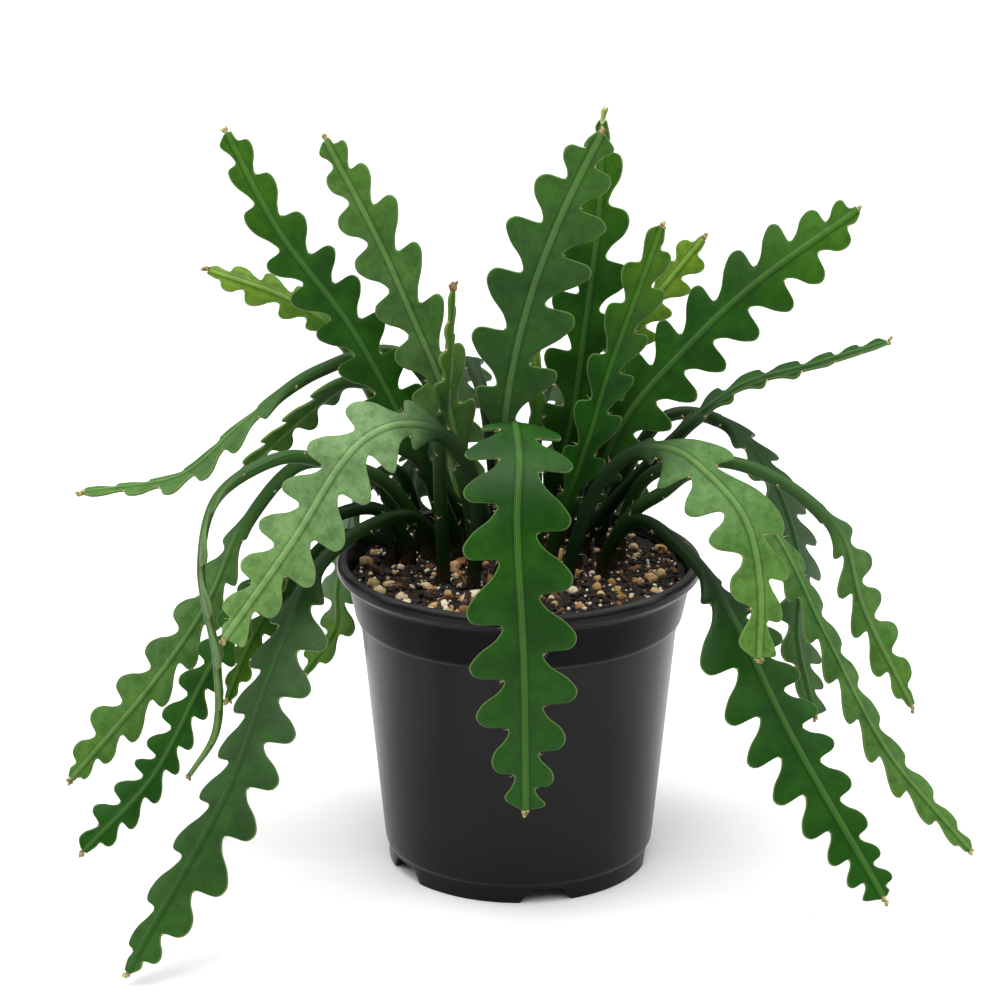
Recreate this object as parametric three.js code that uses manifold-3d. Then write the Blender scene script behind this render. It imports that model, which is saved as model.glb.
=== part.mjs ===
// A fishbone cactus in its nursery pot: flat lobed stems in plain holes in the soil.
// Millimetres, +Z up. The pot's axis is the Z axis, its foot rests on z = 0,
// and the stem that hangs down the front faces -Y.
import * as THREE from 'three';
import { mergeVertices } from 'three/addons/utils/BufferGeometryUtils.js';
import Module from 'manifold-3d';

const wasm = await Module();
wasm.setup();

// ---- Driving dimensions ----
const rimRadius = 82.5;
const potHeight = 144;
const wall = 1.8;
const shoulderHeight = 117;
const shoulderRadius = 72;
const collarTop = 133;
const collarRadius = 77.6;
const bodyFootRadius = 61.8;
const floorUnderside = 8;
const skirtRadius = 60;
const skirtWall = 3;
const sectors = 48;

const notchCount = 5;
const notchTop = 6.5;
const notchTopWidth = 14;
const notchFootWidth = 25;
const firstNotchDegrees = -78;

const touchGap = 0.35;
const soilHeight = 136;
const soilRelief = 1.6;
const grainCount = 22;

const holeRadius = 4.1;
const holeSides = 8;
const stemFoot = 124;
const stalkHalfWidth = 3;
const stalkHalfDepth = 3;
const marginHalfDepth = 0.6;
const marginDroop = 2;

// ---- Colours ----
const potBlack = 0x26272a;
const soilBrown = 0x3a2a20;
const leafDark = 0x2f6a30;
const leafMid = 0x3c7a3a;
const leafPale = 0x5d9450;
const leafYoung = 0x6fae35;

// ---- Solids ----
function toManifold(geometry) {
  const bare = geometry.clone();
  bare.deleteAttribute('normal');
  bare.deleteAttribute('uv');
  const merged = mergeVertices(bare, 1e-4);
  return new wasm.Manifold(new wasm.Mesh({
    numProp: 3,
    vertProperties: new Float32Array(merged.attributes.position.array),
    triVerts: new Uint32Array(merged.index.array),
  }));
}

function toGeometry(solid) {
  const mesh = solid.getMesh();
  const geometry = new THREE.BufferGeometry();
  geometry.setAttribute('position', new THREE.BufferAttribute(mesh.vertProperties, 3));
  geometry.setIndex(new THREE.BufferAttribute(mesh.triVerts, 1));
  return geometry;
}

function indexedGeometry(points, faces) {
  const geometry = new THREE.BufferGeometry();
  const coordinates = points.flatMap((point) => [point.x, point.y, point.z]);
  geometry.setAttribute('position', new THREE.Float32BufferAttribute(coordinates, 3));
  geometry.setIndex(faces.flat());
  return geometry;
}

// LatheGeometry turns about +Y, so the turned solid is stood up on +Z. The profile
// runs up the outside and comes back down the inside.
function turned(profile) {
  const outline = profile.map(([radius, height]) => new THREE.Vector2(radius, height));
  const geometry = new THREE.LatheGeometry(outline, sectors);
  geometry.rotateX(Math.PI / 2);
  return geometry;
}

// Repeatable random numbers between 0 and 1.
function seeded(seed) {
  let state = seed;
  return () => {
    state = (state * 1664525 + 1013904223) % 4294967296;
    return state / 4294967296;
  };
}

// ---- Pot ----
const innerShoulder = shoulderRadius - wall;
const innerCollar = collarRadius - wall;
const innerFoot = bodyFootRadius - wall;
const potFloor = floorUnderside + wall + 1.2;

const insideProfile = [
  [innerFoot - 1.4, potFloor],
  [innerFoot, potFloor + 2.5],
  [innerShoulder, shoulderHeight + 0.5],
  [innerShoulder + 2.2, shoulderHeight + 3.5],
  [innerCollar, collarTop],
  [innerCollar + 1.6, potHeight - 0.8],
];

function potGeometry() {
  const outside = [
    [0, floorUnderside],
    [skirtRadius - skirtWall, floorUnderside],
    [skirtRadius - skirtWall, 0],
    [skirtRadius - 0.2, 0],
    [skirtRadius + 0.2, floorUnderside],
    [skirtRadius + 1.4, floorUnderside + 2],
    [bodyFootRadius, floorUnderside + 5],
    [shoulderRadius, shoulderHeight - 0.8],
    [shoulderRadius + 1.5, shoulderHeight],
    [shoulderRadius + 2.3, shoulderHeight + 1.8],
    [collarRadius - 0.3, collarTop],
    [collarRadius + 0.4, collarTop + 2.6],
    [collarRadius + 2, collarTop + 4.4],
    [rimRadius - 1.2, collarTop + 5.2],
    [rimRadius, collarTop + 6.4],
    [rimRadius, potHeight - 1.6],
    [rimRadius - 0.8, potHeight - 0.5],
    [rimRadius - 2.2, potHeight],
    [innerCollar + 2.6, potHeight],
  ];
  const profile = [...outside, ...insideProfile.slice().reverse(), [0, potFloor]];
  let solid = toManifold(turned(profile));
  for (let i = 0; i < notchCount; i += 1) {
    const degrees = firstNotchDegrees + (360 * i) / notchCount;
    solid = solid.subtract(toManifold(notchCutter(degrees)));
  }
  return toGeometry(solid);
}

// One foot notch: a trapezium, wide at the floor, pushed through the skirt from outside.
function notchCutter(degrees) {
  const shape = new THREE.Shape([
    new THREE.Vector2(-notchFootWidth / 2, -1),
    new THREE.Vector2(notchFootWidth / 2, -1),
    new THREE.Vector2(notchFootWidth / 2 - 1.5, 1.2),
    new THREE.Vector2(notchTopWidth / 2 + 1.2, notchTop - 1),
    new THREE.Vector2(notchTopWidth / 2 - 0.6, notchTop),
    new THREE.Vector2(-notchTopWidth / 2 + 0.6, notchTop),
    new THREE.Vector2(-notchTopWidth / 2 - 1.2, notchTop - 1),
    new THREE.Vector2(-notchFootWidth / 2 + 1.5, 1.2),
  ]);
  const depth = 14;
  const geometry = new THREE.ExtrudeGeometry(shape, { depth, bevelEnabled: false });
  geometry.rotateX(Math.PI / 2);
  geometry.translate(0, skirtRadius + depth / 2, 0);
  geometry.rotateZ(THREE.MathUtils.degToRad(degrees - 90));
  return geometry;
}

// ---- Stems ----
// Each path runs from the foot of the stem in its hole, over the soil, to the tip, and
// face is the way that the upper side looks at the stalk and at the tip. bladeLength is
// the lobed length back from the tip. halfWidths reach to a lobe's end on either side of
// the rib, notch is the share of them left at a notch, and lean slopes the lobes towards
// the tip. lobes gives, on either side, how far the first notch lies from the tip and
// then the length of each lobe towards the stalk, where the last length repeats. pitch is
// the usual length, and taper is how many of them the narrowing at the tip takes.
const stems = [
  {
    name: 'stem_front_centre', colour: leafDark,
    path: [[2, -28], [-1, -28, 188], [-2, -45, 219], [0, -76, 212], [-1, -92, 190], [2, -103, 132],
      [3, -106, 65]],
    face: [[0, 0.5, 0.85], [0.05, -1, 0.15]], bladeLength: 210, halfWidths: [23, 23], pitch: 25.5,
    taper: 2.3, notch: 0.36, lean: 0, lobes: [[16, 21, 22, 24, 28, 23, 22],
      [10, 16, 21, 23, 25, 27, 28, 19, 24]],
  },
  {
    name: 'stem_front_left_broad', colour: leafPale,
    path: [[-20, -28], [-20, -27, 188], [-34, -33, 212], [-52, -40, 218], [-66, -46, 214], [-77, -53, 204],
      [-97, -66, 174], [-127, -80, 134]],
    face: [[-0.2, -0.6, 0.8], [-0.2, -0.95, 0.3]], bladeLength: 150, halfWidths: [18.5, 19.5], pitch: 20,
    taper: 2.8, notch: 0.34, lean: -0.05, lobes: [[8, 18, 19, 21, 19, 20], [17, 20, 19, 23, 23, 25, 24]],
  },
  {
    name: 'stem_front_left_long', colour: leafMid,
    path: [[-36, 4], [-46, -3, 163], [-62, -19, 167], [-86, -45, 157], [-106, -79, 121], [-125, -113, 75],
      [-166, -146, 7]],
    face: [[-0.2, -0.65, 0.75], [-0.45, -0.85, 0.3]], bladeLength: 200, halfWidths: [12.5, 20], pitch: 21.5,
    taper: 2.3, notch: 0.4, lean: 0.1, lobes: [[9, 20, 25, 25, 21, 22, 21, 22],
      [7, 14, 22, 26, 22, 20, 21, 23, 22]],
  },
  {
    name: 'stem_left_upright_outer', colour: leafDark,
    path: [[-28, 14], [-56, 12, 211], [-76, 18, 247], [-108, 30, 288], [-131, 41, 330]],
    face: [[0.3, -0.9, 0.3], [0.05, -1, 0.05]], bladeLength: 185, halfWidths: [15.5, 15], pitch: 19,
    taper: 4.1, notch: 0.34, lean: -0.05, lobes: [[5, 17, 22, 22, 17, 19, 18], [14, 20, 23, 18, 20]],
  },
  {
    name: 'stem_left_upright_inner', colour: leafMid,
    path: [[-20, 0], [-31, 1, 213], [-48, 4, 257], [-64, 8, 293], [-85, 12, 333]],
    face: [[-0.05, -0.95, 0.3], [-0.2, -1, 0.05]], bladeLength: 172, halfWidths: [15, 15.5], pitch: 28.5,
    taper: 1.6, notch: 0.34, lean: 0.3, lobes: [[3, 13, 19, 23, 25, 24], [12, 17, 20, 23, 22]],
  },
  {
    name: 'stem_left_young', colour: leafYoung,
    path: [[-24, 40], [-63, 38, 202], [-82, 47, 234], [-104, 54, 249], [-143, 64, 261]],
    face: [[-0.05, -1, 0.05], [-0.05, -0.8, 0.55]], bladeLength: 80, halfWidths: [8, 9], pitch: 19.5,
    taper: 1.1, notch: 0.4, lean: 0.15, lobes: [[10, 15], [7, 12, 18, 15]],
  },
  {
    name: 'stem_small_shoot', colour: leafYoung,
    path: [[-34, -16], [-35, -19, 204], [-31, -23, 245], [-29, -26, 275]],
    face: [[0.9, -0.45, 0], [0.9, -0.4, 0]], bladeLength: 70, halfWidths: [7.5, 7.5], pitch: 14.5,
    taper: 3, notch: 0.24, lean: 0.05, lobes: [[8, 13, 13, 15, 17], [14, 13, 14, 15, 17]],
  },
  {
    name: 'stem_centre_tall', colour: leafDark,
    path: [[-8, -12], [-6, -9, 215], [4, -12, 266], [18, -16, 306], [35, -19, 343]],
    face: [[-0.05, -0.95, 0.3], [0.05, -1, 0.15]], bladeLength: 162, halfWidths: [22, 20.5], pitch: 28,
    taper: 1.9, notch: 0.32, lean: 0.05, lobes: [[15, 20, 23, 25, 29, 27], [9, 16, 22, 24, 27, 26]],
  },
  {
    name: 'stem_centre_back', colour: leafMid,
    path: [[8, 22], [23, 22, 197], [29, 26, 239], [36, 32, 298], [37, 36, 337]],
    face: [[-0.05, -0.95, 0.3], [-0.25, -0.95, 0]], bladeLength: 180, halfWidths: [17, 17], pitch: 24.5,
    taper: 3, notch: 0.3, lean: -0.1, lobes: [[13, 24, 24, 24, 26], [8, 23, 24, 24, 26]],
  },
  {
    name: 'stem_centre_right_bright', colour: leafYoung,
    path: [[14, -8], [32, 0, 203], [39, 0, 229], [54, -2, 274], [62, -4, 298]],
    face: [[-0.1, -0.95, 0.35], [0.05, -1, 0.15]], bladeLength: 150, halfWidths: [12, 10], pitch: 25,
    taper: 1.1, notch: 0.4, lean: 0.2, lobes: [[10, 18, 22, 20], [18, 20, 25, 22]],
  },
  {
    name: 'stem_right_back_light', colour: leafYoung,
    path: [[18, 36], [40, 38, 207], [54, 42, 242], [74, 46, 269], [83, 48, 280]],
    face: [[-0.15, -0.95, 0.3], [-0.25, -0.95, 0.15]], bladeLength: 105, halfWidths: [10.5, 10.5], pitch: 16,
    taper: 1, notch: 0.32, lean: 0.05, lobes: [[7, 13, 14], [4, 12, 16, 14]],
  },
  {
    name: 'stem_right_upright', colour: leafDark,
    path: [[26, 4], [46, 6, 204], [74, 8, 239], [103, 8, 268], [149, 8, 303]],
    face: [[-0.35, -0.85, 0.4], [-0.05, -0.85, 0.5]], bladeLength: 185, halfWidths: [19, 18], pitch: 20.5,
    taper: 2, notch: 0.34, lean: -0.1, lobes: [[8, 17, 19, 21, 22, 19], [3, 12, 18, 19, 23, 21, 19, 20]],
  },
  {
    name: 'stem_right_side_on', colour: leafMid,
    path: [[30, 18], [77, 26, 198], [101, 35, 214], [136, 44, 222], [168, 50, 231]],
    face: [[-0.35, -0.3, 0.9], [-0.3, -0.3, 0.9]], bladeLength: 115, halfWidths: [4.5, 11], pitch: 19,
    taper: 2.9, notch: 0.3, lean: -0.1, lobes: [[13, 13, 16, 17, 17], [12, 12, 16, 18, 20, 17]],
  },
  {
    name: 'stem_thin_young', colour: leafYoung,
    path: [[8, 8], [7, 11, 195], [8, 13, 215], [6, 15, 241]],
    face: [[0.1, -1, 0], [0.1, -1, 0]], bladeLength: 40, halfWidths: [4.5, 4.5], pitch: 10.5,
    taper: 2.6, notch: 0.24, lean: 0, lobes: [[5, 9, 10, 11, 12], [5, 9, 10, 11, 12]],
  },
  {
    name: 'stem_far_left_arc', colour: leafMid,
    path: [[-14, 32], [-53, 34, 229], [-91, 32, 222], [-126, 24, 198], [-153, 15, 177], [-197, 6, 172]],
    face: [[-0.3, 0.05, 0.95], [0, -0.1, 1]], bladeLength: 116, halfWidths: [10.5, 10.5], pitch: 18.5,
    taper: 2.6, notch: 0.44, lean: -0.05, lobes: [[1, 14, 15, 17, 22], [18, 16, 16, 18, 22]],
  },
  {
    name: 'stem_left_underside', colour: leafPale,
    path: [[-34, 28], [-60, 30, 212], [-78, 28, 218], [-92, 25, 209], [-115, 18, 189], [-127, 14, 178]],
    face: [[-0.25, 0.55, 0.8], [-0.2, 0.7, 0.7]], bladeLength: 75, halfWidths: [12, 12], pitch: 16.5,
    taper: 1.9, notch: 0.32, lean: -0.4, lobes: [[5, 13, 15, 16, 19], [5, 14, 14, 16, 19]],
  },
  {
    name: 'stem_left_bow', colour: leafDark,
    path: [[-42, 16], [-62, 8, 178], [-86, -4, 190], [-106, -18, 196], [-133, -32, 182], [-140, -42, 154],
      [-133, -54, 112], [-134, -60, 82], [-145, -67, 65]],
    face: [[-0.45, 0.05, 0.9], [-1, 0, 0.1]], bladeLength: 150, halfWidths: [10, 10], pitch: 19.5,
    taper: 3, notch: 0.26, lean: -0.15, lobes: [[1, 16, 16, 18, 23], [1, 16, 16, 18, 23]],
  },
  {
    name: 'stem_left_drooping_back', colour: leafDark,
    path: [[-54, 22], [-67, 22, 174], [-98, 23, 181], [-124, 15, 155], [-143, 7, 117], [-168, -2, 82],
      [-205, -14, 41]],
    face: [[-0.5, 0.15, 0.85], [-0.15, -0.95, 0.25]], bladeLength: 155, halfWidths: [15, 10.5], pitch: 26.5,
    taper: 1.3, notch: 0.38, lean: -0.25, lobes: [[7, 15, 19, 21, 22], [3, 12, 16, 21]],
  },
  {
    name: 'stem_left_drooping_front', colour: leafDark,
    path: [[-50, 6], [-64, 4, 165], [-86, -1, 162], [-110, -8, 139], [-138, -17, 99], [-166, -33, 49],
      [-196, -48, 20]],
    face: [[-0.25, -0.5, 0.85], [0, -0.95, 0.3]], bladeLength: 185, halfWidths: [11, 8.5], pitch: 15.5,
    taper: 1.1, notch: 0.32, lean: -0.15, lobes: [[13, 14, 16, 11, 15, 17, 16],
      [8, 13, 15, 15, 12, 15, 14]],
  },
  {
    name: 'stem_left_rim_bright', colour: leafYoung,
    path: [[-46, 34], [-57, 42, 172], [-71, 50, 161], [-81, 56, 130], [-85, 58, 107], [-86, 58, 89],
      [-101, 52, 68]],
    face: [[-0.25, 0.15, 0.95], [-0.75, -0.65, 0.2]], bladeLength: 108, halfWidths: [18, 14], pitch: 16.5,
    taper: 2.8, notch: 0.32, lean: 0.1, lobes: [[5, 17, 16, 17], [8, 16, 16, 17]],
  },
  {
    name: 'stem_left_short', colour: leafYoung,
    path: [[-58, 10], [-70, 11, 150], [-84, 10, 149], [-102, 5, 131], [-121, -1, 104], [-133, -6, 77]],
    face: [[-0.4, -0.3, 0.85], [-0.5, -0.8, 0.3]], bladeLength: 62, halfWidths: [9, 9], pitch: 12,
    taper: 2, notch: 0.32, lean: 0.1, lobes: [[5, 12, 13, 14], [10, 12, 13, 14]],
  },
  {
    name: 'stem_front_right_broad', colour: leafPale,
    path: [[22, -24], [36, -21, 186], [52, -30, 203], [68, -40, 206], [82, -52, 199], [97, -68, 184],
      [103, -80, 160], [103, -90, 129]],
    face: [[0.2, -0.6, 0.75], [0.3, -0.9, 0.3]], bladeLength: 130, halfWidths: [19.5, 17], pitch: 19,
    taper: 3.2, notch: 0.34, lean: -0.35, lobes: [[21, 23, 23, 24], [16, 18, 19, 37, 28]],
  },
  {
    name: 'stem_front_right_long', colour: leafDark,
    path: [[38, -10], [52, -14, 166], [74, -36, 158], [93, -60, 136], [118, -86, 91], [158, -110, 26]],
    face: [[0.25, -0.6, 0.75], [0.3, -0.9, 0.25]], bladeLength: 164, halfWidths: [23, 18], pitch: 18.5,
    taper: 4.5, notch: 0.38, lean: 0.05, lobes: [[10, 12, 15, 19, 19, 19, 23, 31, 27],
      [4, 11, 13, 18, 19, 17, 18]],
  },
  {
    name: 'stem_right_long_narrow', colour: leafMid,
    path: [[42, 2], [51, 0, 165], [64, -2, 175], [79, -6, 186], [111, -14, 163], [136, -30, 118],
      [164, -46, 68], [201, -61, 27]],
    face: [[0.4, -0.25, 0.9], [0.45, -0.8, 0.4]], bladeLength: 205, halfWidths: [9, 9], pitch: 20,
    taper: 2.2, notch: 0.44, lean: 0.45, lobes: [[5, 15, 19, 19, 19, 20], [11, 16, 20, 21, 21, 17, 19]],
  },
  {
    name: 'stem_right_arc_outer', colour: leafDark,
    path: [[46, 16], [58, 12, 178], [90, 8, 187], [120, 4, 177], [145, -2, 154], [155, -8, 123],
      [178, -17, 79]],
    face: [[0.25, 0.3, 0.95], [0.3, -0.9, 0.2]], bladeLength: 105, halfWidths: [9, 12.5], pitch: 20,
    taper: 1.5, notch: 0.3, lean: 0.45, lobes: [[5, 14, 21, 18], [9, 17, 18]],
  },
  {
    name: 'stem_right_arc_inner', colour: leafMid,
    path: [[38, 34], [67, 40, 198], [94, 47, 193], [114, 42, 171], [129, 38, 130], [129, 32, 92],
      [138, 25, 57]],
    face: [[0, 0.25, 0.95], [0.75, -0.65, 0.1]], bladeLength: 160, halfWidths: [12, 20.5], pitch: 18,
    taper: 2.4, notch: 0.4, lean: -0.4, lobes: [[8, 18], [12, 13, 15, 14]],
  },
  {
    name: 'stem_back_left_low', colour: leafMid,
    path: [[-30, 48], [-42, 72, 174], [-50, 90, 158], [-52, 102, 108], [-52, 107, 58]],
    face: [[-0.4, 0.2, 1], [-0.3, 1, 0.1]], bladeLength: 145, halfWidths: [14, 14], pitch: 21,
    taper: 2.2, notch: 0.34, lean: -0.1, lobes: [[5, 17, 19, 21], [13, 17, 19, 21]],
  },
  {
    name: 'stem_back_left_arch', colour: leafPale,
    path: [[-10, 46], [-16, 58, 200], [-24, 84, 212], [-32, 112, 188], [-34, 132, 140], [-34, 140, 92]],
    face: [[0, -0.2, 1], [-0.1, 1, 0.2]], bladeLength: 155, halfWidths: [17, 17], pitch: 22,
    taper: 2.2, notch: 0.34, lean: -0.1, lobes: [[8, 18, 20, 22], [1, 18, 20, 22]],
  },
  {
    name: 'stem_back_right_arch', colour: leafPale,
    path: [[2, 44], [10, 64, 198], [18, 90, 206], [24, 122, 178], [26, 142, 124], [26, 148, 66]],
    face: [[0, -0.2, 1], [0.1, 1, 0.2]], bladeLength: 165, halfWidths: [18, 18], pitch: 23,
    taper: 2.2, notch: 0.34, lean: -0.1, lobes: [[4, 19, 21, 23], [14, 19, 21, 23]],
  },
  {
    name: 'stem_back_right_low', colour: leafDark,
    path: [[24, 50], [38, 74, 174], [48, 92, 158], [52, 102, 108], [52, 107, 54]],
    face: [[0.4, 0.2, 1], [0.3, 1, 0.1]], bladeLength: 145, halfWidths: [14, 14], pitch: 21,
    taper: 2.2, notch: 0.34, lean: -0.1, lobes: [[9, 17, 19, 21], [2, 17, 19, 21]],
  },
];

// One lobe's edge from its notch on the stalk side to its notch on the tip side: how far
// along the lobe, and how far out from the notch to the lobe's end.
const lobeEdge = [[0, 0], [0.22, 0.16], [0.5, 0.72], [0.76, 1], [0.93, 0.86]];
const openingPitches = 2;
const tipShare = 0.45;
const tipMargin = 1.5;
const tipHalfWidth = 1.6;
const ribSteps = 2;
const stalkStep = 28;

function smooth(t) {
  const clamped = Math.min(1, Math.max(0, t));
  return clamped * clamped * (3 - 2 * clamped);
}

function stemPath(stem) {
  const [[footX, footY], ...rest] = stem.path;
  const upright = [[footX, footY, stemFoot], [footX, footY, soilHeight + 2]];
  const points = [...upright, [footX, footY, soilHeight + 10], ...rest];
  return new THREE.CatmullRomCurve3(points.map((point) => new THREE.Vector3(...point)));
}

// Where the stem is at a length along it, and the ways across it and out of its face.
function stemFrame(stem, curve, length, along) {
  const t = along / length;
  const centre = curve.getPointAt(t);
  const tangent = curve.getTangentAt(t);
  const [start, end] = stem.face.map((vector) => new THREE.Vector3(...vector).normalize());
  const normal = start.lerp(end, t);
  normal.addScaledVector(tangent, -normal.dot(tangent)).normalize();
  const side = new THREE.Vector3().crossVectors(tangent, normal);
  return { centre, normal, side };
}

// How far back from the tip the notches of one edge lie. The lobe ahead of the first notch
// runs up to the bud, and the last lobe may start on the stalk.
function notchesFromTip({ bladeLength }, [tipGap, ...lengths]) {
  const notches = [tipGap - lengths[0], tipGap];
  for (let i = 0; notches.at(-1) < bladeLength; i += 1) {
    notches.push(notches.at(-1) + lengths[Math.min(i, lengths.length - 1)]);
  }
  return notches;
}

// Points down one edge of a stem, as lengths along it and widths out from its rib.
function edgeOutline(stem, length, side) {
  const { bladeLength } = stem;
  const outline = stalkStations(length - bladeLength).map((along) => [along, stalkHalfWidth]);
  const notches = notchesFromTip(stem, stem.lobes[side]);
  for (let i = notches.length - 1; i > 0; i -= 1) {
    for (const [place, rise] of lobeEdge) {
      const fromTip = notches[i] + (notches[i - 1] - notches[i]) * place;
      if (fromTip > tipMargin && fromTip < bladeLength - 2) {
        outline.push([length - fromTip, edgeWidth(stem, side, fromTip, rise)]);
      }
    }
  }
  outline.push([length, tipHalfWidth]);
  return outline;
}

function edgeWidth(stem, side, fromTip, rise) {
  const reach = stem.notch + rise * (1 - stem.notch);
  const opening = smooth((stem.bladeLength - fromTip) / (openingPitches * stem.pitch));
  const closing = tipShare + (1 - tipShare) * smooth(fromTip / (stem.taper * stem.pitch));
  const lobed = stem.halfWidths[side] * reach * closing;
  const width = stalkHalfWidth + opening * (lobed - stalkHalfWidth);
  return Math.max(width, Math.min(2.6, tipHalfWidth + fromTip * 0.2));
}

function stalkStations(bladeStart) {
  const steps = Math.max(2, Math.round((bladeStart - 16) / stalkStep));
  const stations = [0, 14];
  for (let i = 1; i <= steps; i += 1) {
    stations.push(14 + ((bladeStart - 14) * i) / steps);
  }
  return stations;
}

function ribStations(stem, length) {
  const bladeStart = length - stem.bladeLength;
  const lobes = Math.round(stem.bladeLength / stem.pitch);
  const stations = stalkStations(bladeStart);
  for (let i = 1; i <= lobes * ribSteps; i += 1) {
    stations.push(bladeStart + (stem.bladeLength * i) / (lobes * ribSteps));
  }
  return stations;
}

// Half the thickness of the stem at its rib, and at its edge.
function ribHalfDepth(stem, length, along) {
  const blade = smooth((along - (length - stem.bladeLength)) / 40);
  const tip = smooth((length - along) / 30);
  return stalkHalfDepth + blade * (1.3 + 0.7 * tip - stalkHalfDepth);
}

function edgeHalfDepth(stem, length, along) {
  const blade = smooth((along - (length - stem.bladeLength)) / 25);
  return 1.5 + blade * (marginHalfDepth - 1.5);
}

// Two lines of points joined by a strip of triangles, each step taken on the line that
// lags behind.
function strip(lineA, lineB, flip) {
  const faces = [];
  let a = 0;
  let b = 0;
  while (a < lineA.length - 1 || b < lineB.length - 1) {
    const takeA = b === lineB.length - 1
      || (a < lineA.length - 1 && lineA[a + 1].along <= lineB[b + 1].along);
    const corner = takeA ? lineA[a + 1].index : lineB[b + 1].index;
    const face = [lineA[a].index, lineB[b].index, corner];
    faces.push(flip ? [face[0], face[2], face[1]] : face);
    if (takeA) {
      a += 1;
    } else {
      b += 1;
    }
  }
  return faces;
}

function stemGeometry(stem) {
  const curve = stemPath(stem);
  curve.arcLengthDivisions = 400;
  const length = curve.getLength();
  const points = [];
  // Points on one line up the stem. A lobe leans, so its points move on along the stem.
  const addLine = (stations, offset) => stations.map(({ along, width = 0, direction = 0 }) => {
    const shift = direction * stem.lean * Math.max(0, width - stalkHalfWidth);
    const place = Math.min(length, Math.max(0, along + shift));
    const frame = stemFrame(stem, curve, length, place);
    const point = frame.centre.clone().addScaledVector(frame.side, direction * width);
    points.push(point.addScaledVector(frame.normal, offset(along, width)));
    return { index: points.length - 1, along };
  });
  const ribs = ribStations(stem, length).map((along) => ({ along }));
  const ribTop = addLine(ribs, (along) => ribHalfDepth(stem, length, along));
  const ribBottom = addLine(ribs, (along) => -ribHalfDepth(stem, length, along));
  const faces = [];
  const sides = [];
  for (const [side, direction] of [[0, 1], [1, -1]]) {
    const spread = stem.halfWidths[side] - stalkHalfWidth;
    const cup = (width) => -marginDroop * Math.max(0, (width - stalkHalfWidth) / spread) ** 2;
    const outline = edgeOutline(stem, length, side).map(([along, width]) => ({ along, width, direction }));
    const edge = (up) => addLine(outline, (along, width) => (
      cup(width) + up * edgeHalfDepth(stem, length, along)));
    const top = edge(1);
    const bottom = edge(-1);
    const flip = direction < 0;
    faces.push(...strip(ribTop, top, flip), ...strip(ribBottom, bottom, !flip), ...strip(top, bottom, flip));
    sides.push({ top, bottom });
  }
  const [right, left] = sides;
  for (const end of [0, -1]) {
    const ring = [ribTop, right.top, right.bottom, ribBottom, left.bottom, left.top];
    const [first, ...others] = ring.map((line) => line.at(end).index);
    for (let i = 0; i < others.length - 1; i += 1) {
      const face = [first, others[i], others[i + 1]];
      faces.push(end === 0 ? [face[0], face[2], face[1]] : face);
    }
  }
  return indexedGeometry(points, faces);
}

// ---- Soil ----
function soilSurface(x, y) {
  const waves = Math.sin(0.13 * x + 1.1) * Math.cos(0.11 * y - 0.4)
    + 0.6 * Math.sin(0.31 * x - 0.23 * y) + 0.4 * Math.cos(0.37 * y + 0.19 * x + 2);
  const mound = 1.4 * Math.cos((Math.hypot(x, y) / innerCollar) * Math.PI / 2);
  return soilHeight + soilRelief * waves * 0.6 + mound;
}

function soilGeometry() {
  const clear = insideProfile.filter(([, height]) => height < soilHeight - 4)
    .map(([radius, height]) => [radius - touchGap, height + touchGap]);
  const topRadius = innerCollar - 0.05;
  const rings = [0, 0.14, 0.32, 0.5, 0.68, 0.85, 1];
  const points = [new THREE.Vector3(0, 0, soilSurface(0, 0))];
  const faces = [];
  const ringStart = (ring) => 1 + ring * sectors;
  const addRing = (radius, heightAt) => {
    for (let i = 0; i < sectors; i += 1) {
      const angle = (2 * Math.PI * i) / sectors;
      const x = radius * Math.cos(angle);
      const y = radius * Math.sin(angle);
      points.push(new THREE.Vector3(x, y, heightAt(x, y)));
    }
  };
  rings.slice(1).forEach((share) => addRing(share * topRadius, soilSurface));
  clear.slice().reverse().forEach(([radius, height]) => addRing(radius, () => height));
  const ringCount = (points.length - 1) / sectors;
  const underside = points.length;
  points.push(new THREE.Vector3(0, 0, clear[0][1]));
  for (let i = 0; i < sectors; i += 1) {
    const next = (i + 1) % sectors;
    faces.push([0, ringStart(0) + i, ringStart(0) + next]);
    for (let ring = 0; ring < ringCount - 1; ring += 1) {
      const a = ringStart(ring);
      const b = ringStart(ring + 1);
      faces.push([a + i, b + i, b + next], [a + i, b + next, a + next]);
    }
    faces.push([ringStart(ringCount - 1) + next, ringStart(ringCount - 1) + i, underside]);
  }
  let solid = toManifold(indexedGeometry(points, faces));
  grainPlaces().forEach((place) => {
    solid = solid.add(toManifold(grain(place)));
  });
  stems.forEach(({ path: [[x, y]] }) => {
    solid = solid.subtract(toManifold(stemHole(x, y)));
  });
  return toGeometry(solid);
}

// Pumice and bark grains, sunk halfway in the soil and clear of the stem holes.
function grainPlaces() {
  const random = seeded(7);
  const places = [];
  while (places.length < grainCount) {
    const radius = 72 * Math.sqrt(random());
    const angle = 2 * Math.PI * random();
    const size = 1.6 + 1.6 * random();
    const turn = Math.PI * random();
    const x = radius * Math.cos(angle);
    const y = radius * Math.sin(angle);
    const free = stems.every(({ path: [[a, b]] }) => Math.hypot(a - x, b - y) > holeRadius + size + 1);
    const apart = places.every((other) => Math.hypot(other.x - x, other.y - y) > size + other.size + 0.6);
    if (free && apart) {
      places.push({ x, y, size, turn });
    }
  }
  return places;
}

function grain({ x, y, size, turn }) {
  const geometry = new THREE.OctahedronGeometry(size, 0);
  geometry.scale(1, 1.25, 0.9);
  geometry.rotateZ(turn);
  geometry.translate(x, y, soilSurface(x, y) + size * 0.15);
  return geometry;
}

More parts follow.
